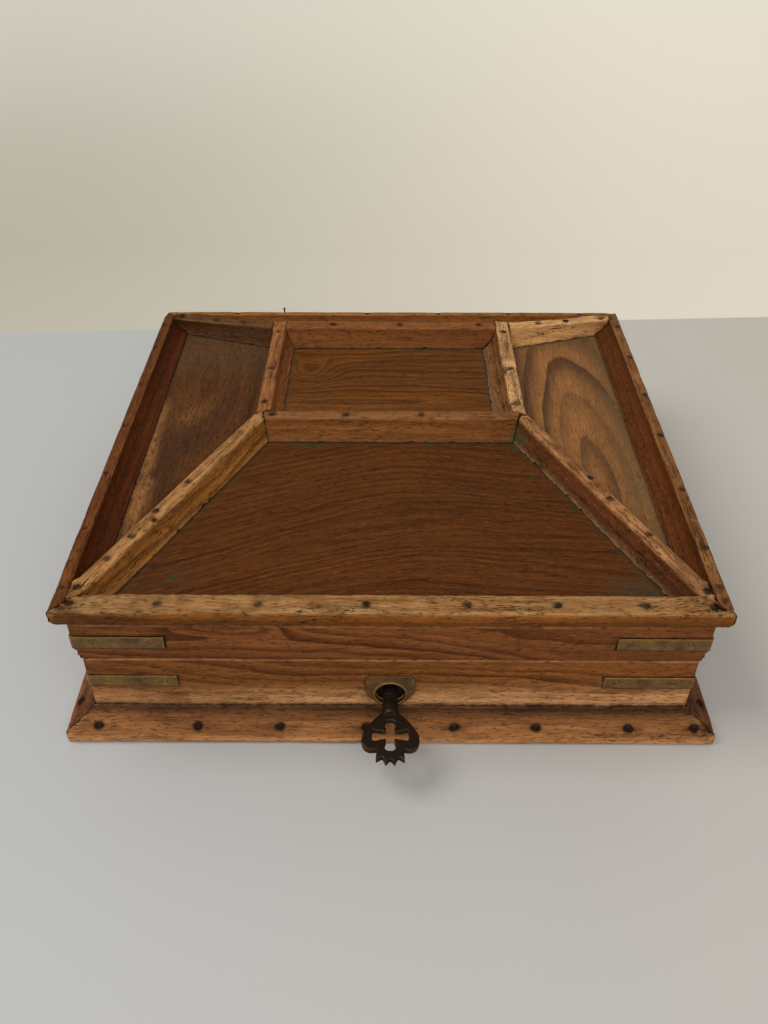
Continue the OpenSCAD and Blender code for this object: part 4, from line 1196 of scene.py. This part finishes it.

# %% [markdown]
# ## Boards
# The walls and the lid's sides are plain boards with let-in brass. The two front
# boards are seen closest, so they are rebuilt from smaller squares than the rest.
# Over the plinth the wall's lower edge has gone pale with rubbing. The lid's boards
# have a pale line under the rim, a painted highlight with some rubbing. Round each
# strap there is a dark, greenish line where the brass was let in: painted shadow of
# the gap, with green dirt in it.

# %% Walls and lid sides
FRONT_SKIN, BOARD_SKIN = 0.75 * MM, 1.1 * MM
BOARD_WOOD = {
    "front_wall": dict(light=(139, 85, 41), dark=(91, 51, 21), rubbed=(206, 150, 100),
                       middle=(0.03, -0.11, 0.06)),
    "right_wall": dict(light=(124, 76, 37), dark=(80, 45, 21), rubbed=(177, 124, 73),
                       middle=(0.11, 0, 0.05)),
    "back_wall": dict(light=(122, 74, 35), dark=(80, 45, 21), rubbed=(173, 120, 71),
                      middle=(0, 0.1, 0.05)),
    "left_wall": dict(light=(118, 70, 33), dark=(74, 39, 17), rubbed=(170, 117, 69),
                      middle=(-0.11, 0, 0.05)),
    "lid_front": dict(light=(139, 83, 42), dark=(82, 43, 21), rubbed=(165, 111, 66),
                      middle=(-0.04, -0.115, 0.085), knot=(-0.030, -0.0166, -0.0182),
                      knot_size=0.0065, knot_length=4.5),
    "lid_right": dict(light=(124, 76, 39), dark=(78, 43, 21), rubbed=(166, 113, 67),
                      middle=(0.12, 0, 0.09)),
    "lid_back": dict(light=(122, 74, 37), dark=(78, 43, 19), rubbed=(166, 113, 67),
                     middle=(0, 0.12, 0.09)),
    "lid_left": dict(light=(114, 66, 32), dark=(70, 37, 15), rubbed=(160, 107, 63),
                     middle=(-0.12, 0, 0.09))}
STRAPS = sorted(n for n in NODES if "_strap_" in n and not n.endswith("pins"))


def round_strap(spots, node, strap):
    """1 along the top and the ends of a strap that is let into this board's outer face."""
    low, high = box_of(strap)
    beside = np.maximum(np.maximum(low - spots, spots - high), 0)[:, :2].max(1) / MM
    above = (spots[:, 2] - high[2]) / MM
    line = hump(above / 0.5) * (beside < 1) + (above < 0) * (above > -7) * hump((beside - 0.3) / 0.4)
    outer = np.abs(spots[:, :2]).max(1) > np.abs(np.array(box_of(node))[:, :2]).min() - 1.5 * MM
    return line * outer


for order, (node, look) in enumerate(BOARD_WOOD.items()):
    across = "right" in node or "left" in node
    tone = wood(node + "_wood", turn=90 if across else 0, ring=0.0065, slope=0.14, sway=0.026, cracks=0.3,
                contrast=1.0, wander=0.014, wild=2.2, streaks=0.9, **look)
    size = FRONT_SKIN if "front" in node else BOARD_SKIN
    piece, _ = worn_solid(node, size, tone, 50 + order, soften=2, chip=0.4, ripple=0.25, corner=1.3)
    spots = points_of(piece)
    for strap in STRAPS:
        if NODES[strap]["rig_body"] == NODES[node]["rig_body"]:
            line = round_strap(spots, node, strap)
            # Painted shadow of the gap round the let-in strap, stored as dirt, with some green.
            add_mark(piece, "dirt", 1.3 * line)
            add_mark(piece, "green", 0.35 * line)
    height, patch = spots[:, 2] / MM, lattice_noise(spots, 26 * MM, 60 + order)
    if node.startswith("lid"):
        # Painted highlight, with some rubbing: a pale line along the lid board's top, under the rim.
        add_mark(piece, "rub", 1.2 * step_up(height, 65.2, 66) * (0.3 + 0.9 * patch))
    else:
        worn_low = step_up(height, 30, 15) * (0.6 + 0.6 * patch)
        add_mark(piece, "rub", 1.4 * worn_low * (0.75 + 0.25 * step_up(spots[:, 0] / MM, -90, 20)))
        add_mark(piece, "dust", 0.7 * np.exp(-np.maximum(0, height - 13.2) / 0.7))
    print(piece.name, triangles(piece), "triangles")

# %% [markdown]
# ## Tray floors
# Four thin boards close the lid's top. They were cut from wide, showy stock: the
# right tray shows nested arches, the centre one a knot. Where they meet the bars and
# the rim they take dust and painted shade, so their points look up how near the
# closest bar or rim is. The left one has a slanting line of pale filler and a dark
# streak of heartwood.

# %% Tray floors
PANEL_SKIN = 1.3 * MM
PANEL_WOOD = {
    "panel_front": dict(
        light=(84, 45, 13), dark=(51, 26, 6), rubbed=(128, 82, 40), broad=(101, 53, 18),
        dirt=(40, 34, 25), dust=(72, 56, 36), middle=(0.02, -0.24, 0.02), ring=0.0045, slope=0.02,
        sway=0.012, contrast=0.75, flecks=0.5, streaks=1.2, bow=(-0.004, 0.42, 0.12), wander=0.012),
    "panel_left": dict(
        light=(86, 49, 19), dark=(48, 25, 10), rubbed=(153, 104, 57), broad=(73, 44, 24),
        dirt=(48, 34, 26), dust=(84, 62, 42), turn=90, middle=(-0.105, 0.08, 0.065), ring=0.011,
        slope=0.2, sway=0.012, streaks=0.6),
    "panel_right": dict(
        light=(145, 97, 54), dark=(61, 42, 30), rubbed=(148, 105, 63), broad=(106, 72, 42),
        dirt=(58, 46, 33), dust=(104, 78, 50), turn=90, middle=(0.107, -0.032, 0.069), ring=0.009,
        slope=0.2, sway=0.005, wild=0.35, contrast=0.9, streaks=0.5, pitted=0.4),
    "panel_centre": dict(
        light=(111, 64, 19), dark=(62, 33, 10), rubbed=(121, 80, 39), dirt=(44, 34, 24),
        dust=(82, 62, 40), middle=(0.06, 0.04, 0.06), ring=0.006, slope=0.08, sway=0.012,
        knot=(-0.1083, 0.0347, 0.009), knot_size=0.014, contrast=0.9, streaks=1.1)}
for order, (node, look) in enumerate(PANEL_WOOD.items()):
    tone = wood(node + "_wood", cracks=0.4, **look)
    piece, gap = worn_solid(node, PANEL_SKIN, tone, 70 + order, soften=1, chip=0.2, ripple=0.35, dent=0)
    x, y, _ = points_of(piece).T / MM
    rough = lattice_noise(points_of(piece), 9 * MM, 80 + order)
    # Dust and painted shade along the tray's edges, where it meets the bars and the rim.
    add_mark(piece, "dust", 0.8 * np.exp(-gap / (0.8 + 3.4 * rough ** 2)))
    if node == "panel_right":
        # Painted shade, with dust: the right tray darkens along its right, back and left edges.
        edge = hump((x - 130) / 12) + 0.9 * hump((y - 118) / 16) + 0.5 * hump((x - 74) / 7)
        add_mark(piece, "dust", 0.85 * np.clip(edge, 0, 1) * (0.6 + 0.6 * rough))
    if node == "panel_left":
        half_width = 2.2 + 3.4 * hump((y + 38) / 26)
        filler = hump((x + 127 + 0.03 * (y + 5)) / half_width) * step_up(y, -88, -55) * step_up(y, 52, 30)
        add_mark(piece, "rub", 1.1 * filler * (0.7 + 0.5 * rough))
        heartwood = hump((x + 109 - 0.4 * y) / 8) * step_up(y, -60, -25) * step_up(y, 62, 35)
        add_mark(piece, "dirt", 0.5 * heartwood)
        add_mark(piece, "rub", 0.7 * hump((x + 112) / 9, (y - 34) / 16) * rough)
        add_mark(piece, "dirt", 0.45 * hump((x + 113) / 10, (y - 3) / 17))
        add_mark(piece, "dust", 0.8 * step_up(y, 55, 100))
    if node == "panel_front":
        add_mark(piece, "dust", 1.2 * hump((x - 112) / 16, (y + 112) / 9))
        add_mark(piece, "dirt", hump((x + 104) / 14, (y + 104) / 14) * rough)
    print(piece.name, triangles(piece), "triangles")

# %% Base board
tone = wood("base_wood", light=(124, 82, 48), dark=(82, 50, 28), middle=(0, 0, -0.05), ring=0.007,
            slope=0.05)
piece, _ = worn_solid("base_board", 2 * MM, tone, 90, soften=1, chip=0.2, ripple=0.2, dent=0)
print(piece.name, triangles(piece), "triangles")

# %% [markdown]
# ## Brass
# The straps were cut from sheet and let into the wood, so only their faces show. Like
# the shield and the key they are softened copies of their solids: filed edges, not
# machined ones.

# %% Straps, shield and key
for order, node in enumerate(STRAPS):
    piece, _ = worn_solid(node, 0.4 * MM, old_brass, 100 + order, soften=2, chip=0.1, ripple=0.06,
                          dent=0, corner=1.6)
    height = points_of(piece)[:, 2] / MM
    # Painted highlight along the strap's top edge, and painted shade along its lower edge.
    add_mark(piece, "rub", 1.3 * hump((height.max() - height) / 0.55))
    add_mark(piece, "dirt", 0.6 * hump((height - height.min()) / 0.5))
shield, _ = worn_solid("escutcheon", 0.3 * MM, old_brass, 120, soften=2, chip=0.1, ripple=0.06, dent=0)
key, _ = worn_solid("key", 0.3 * MM, rusty_iron, 121, soften=3, chip=0.25, ripple=0.12, dent=0)
print(len(STRAPS), "straps; key:", triangles(key), "triangles, shield:", triangles(shield), "triangles")

# %% [markdown]
# ## Nails and pins
# A hundred and twenty nails and pins hold the mouldings and the brass. A Geometry
# Nodes tree sets one small nail on each of a cloud of points. Each point carries the
# way its nail leans, and the tree gives every nail its own turn and size. Hand-made
# heads are low and not quite round, and a dozen sides are enough at this size. The
# wood's surface has sunk with wear, so rays cast at it round each nail tell how deep
# the head has to sit.

# %% Nail tree
nails, given, made_out = new_tree("GeometryNodeTree", "nails", [
    ("Geometry", "Geometry"), ("Head Radius", "Float"), ("Head Height", "Float"),
    ("Shank Radius", "Float"), ("Length", "Float"), ("Unlikeness", "Float"), ("Seed", "Int"),
    ("Metal", "Material")], [("Geometry", "Geometry")])
nails.is_modifier = True
head_radius, head_height = given["Head Radius"], given["Head Height"]
ball = add(nails, "GeometryNodeMeshUVSphere", {"Segments": 12, "Rings": 6, "Radius": head_radius})
head = add(nails, "GeometryNodeTransform", {
    "Geometry": ball.outputs["Mesh"], "Scale": combine(nails, 1, 1, head_height / head_radius),
    "Translation": combine(nails, 0, 0, head_height * -1)})
taper = add(nails, "GeometryNodeMeshCone", {
    "Vertices": 6, "Radius Top": given["Shank Radius"] * 0.4, "Radius Bottom": given["Shank Radius"],
    "Depth": given["Length"]})
shank = add(nails, "GeometryNodeTransform",
            {"Geometry": taper.outputs["Mesh"], "Rotation": (math.pi, 0, 0)})
join = add(nails, "GeometryNodeJoinGeometry")
put(join.inputs[0], head.outputs[0])
put(join.inputs[0], shank.outputs[0])
lean = add(nails, "GeometryNodeInputNamedAttribute", {"Name": "axis"}, data_type="FLOAT_VECTOR")
aim = add(nails, "FunctionNodeAlignRotationToVector", {"Vector": lean.outputs["Attribute"]}, axis="Z")
tilt = add(nails, "FunctionNodeRandomValue", {
    0: (-0.05, -0.05, 0), 1: (0.05, 0.05, 6.28), "Seed": given["Seed"]}, data_type="FLOAT_VECTOR")
spin = add(nails, "FunctionNodeRotateRotation", {0: aim.outputs[0], 1: tilt.outputs[0]},
           rotation_space="LOCAL")
grow = add(nails, "FunctionNodeRandomValue", {
    2: 1 - given["Unlikeness"], 3: 1, "Seed": given["Seed"]}, data_type="FLOAT")
set_on = add(nails, "GeometryNodeInstanceOnPoints", {
    "Points": given["Geometry"], "Instance": join.outputs[0], "Rotation": spin.outputs[0],
    "Scale": grow.outputs[1]})
finish_tree(nails, set_on, given["Metal"], made_out)
print("nail tree:", len(nails.nodes), "nodes")

# %% Setting the nails
JUST_UNDER = 0.05 * MM  # the least that a head lies below its solid's
WORN = search_tree([MADE[node] for node in MADE if node.startswith(("rim_", "plinth_", "bar_"))])


def sunk(tree, top, way, unknown=0.25 * MM):
    """How far a nail's top has to go down to lie in the wood round it, in metres."""
    side = Vector(way).orthogonal().normalized()
    other = Vector(way).cross(side)
    ring, above = 1.8 * MM, 2 * MM
    falls = []
    for turn in range(8):
        angle = math.radians(45 * turn)
        aside = (side * math.cos(angle) + other * math.sin(angle)) * ring
        hit = tree.ray_cast(Vector(top) + aside + Vector(way) * above, -Vector(way), 5 * MM)
        if hit[0] is not None:
            falls.append(hit[3] - above)
    fall = float(np.median(falls)) if len(falls) > 3 else unknown
    return fall + 0.08 * MM if -0.2 * MM < fall < 1.6 * MM else unknown


def set_nails(node, metal, head_radius, head_height, shank_radius, length, unlike, seed):
    """Sets a nail at each of a node's places, its measures in mm; its top lies a hair deep."""
    spots = []
    for way, top in FASTENERS[node]:
        depth = sunk(WORN, top, way) if metal == nail_iron else JUST_UNDER
        spots.append(tuple(top - way * max(depth, JUST_UNDER)))
    mesh = bpy.data.meshes.new(node + "_set")
    mesh.from_pydata(spots, [], [])
    axes = mesh.attributes.new("axis", "FLOAT_VECTOR", "POINT")
    axes.data.foreach_set("vector", np.array([way for way, _ in FASTENERS[node]]).ravel())
    piece = run_tree(new_thing(mesh.name, mesh), nails, {
        "Head Radius": head_radius * MM, "Head Height": head_height * MM,
        "Shank Radius": shank_radius * MM, "Length": length * MM, "Unlikeness": unlike,
        "Seed": seed, "Metal": metal})
    piece.data.shade_smooth()
    MADE[node] = piece
    print(node, len(spots), "set,", triangles(piece), "triangles")


set_nails("rim_nails", nail_iron, 1.3, 0.3, 0.72, 16, 0.38, 1)
set_nails("bar_nails", nail_iron, 1.25, 0.3, 0.72, 10, 0.38, 2)
set_nails("plinth_nails", nail_iron, 1.2, 0.3, 0.72, 13, 0.3, 3)
set_nails("body_strap_pins", old_brass, 1.25, 0.4, 0.65, 7.5, 0.08, 4)
set_nails("lid_strap_pins", old_brass, 1.25, 0.4, 0.65, 7.5, 0.08, 5)
set_nails("escutcheon_pins", old_brass, 1.05, 0.4, 0.6, 1.8, 0.05, 6)

# %% [markdown]
# ## The lock and hinges
# These solids are already the right shape, so they stay as they are and only take
# a metal. A copy would add nothing that shows.

# %% Metals for the lock and hinges
LOCK_METALS = {
    "lock_plate": lock_brass, "lock_bolt": lock_brass, "link_plate": lock_brass, "hinge_pins": lock_brass,
    "body_hinge_leaf_left": lock_brass, "body_hinge_leaf_right": lock_brass,
    "lid_hinge_leaf_left": lock_brass, "lid_hinge_leaf_right": lock_brass,
    "lock_case": rusty_iron, "drill_pin": rusty_iron, "bolt_stud": rusty_iron,
    "lock_spring": rusty_iron, "body_screws": rusty_iron, "lid_screws": rusty_iron}
for node, metal in LOCK_METALS.items():
    NODES[node].data.materials.clear()
    NODES[node].data.materials.append(metal)
print(len(LOCK_METALS), "solids keep their shape and take a metal")

# %% [markdown]
# ## Joining the pieces
# Each new piece rides on the body that its solid belongs to, and stands in for it.
# The lid with its bars, nails and brass then opens as one, and the key turns alone.


# %% Join the pieces to their bodies
def slot_of(node):
    """The material of the record that a piece is made of."""
    if node.endswith("nails") or node == "key":
        return "iron"
    if "strap" in node or "escutcheon" in node:
        return "brass"
    if node.startswith(("rim_", "plinth_", "bar_")):
        return "moulding_wood"
    return "panel_wood" if node.startswith("panel_") else "frame_wood"


for node, piece in MADE.items():
    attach(piece, NODES[node]["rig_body"])
    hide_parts(node)
    slot_of(node)
print(len(MADE), "pieces,", sum(triangles(piece) for piece in MADE.values()), "triangles")
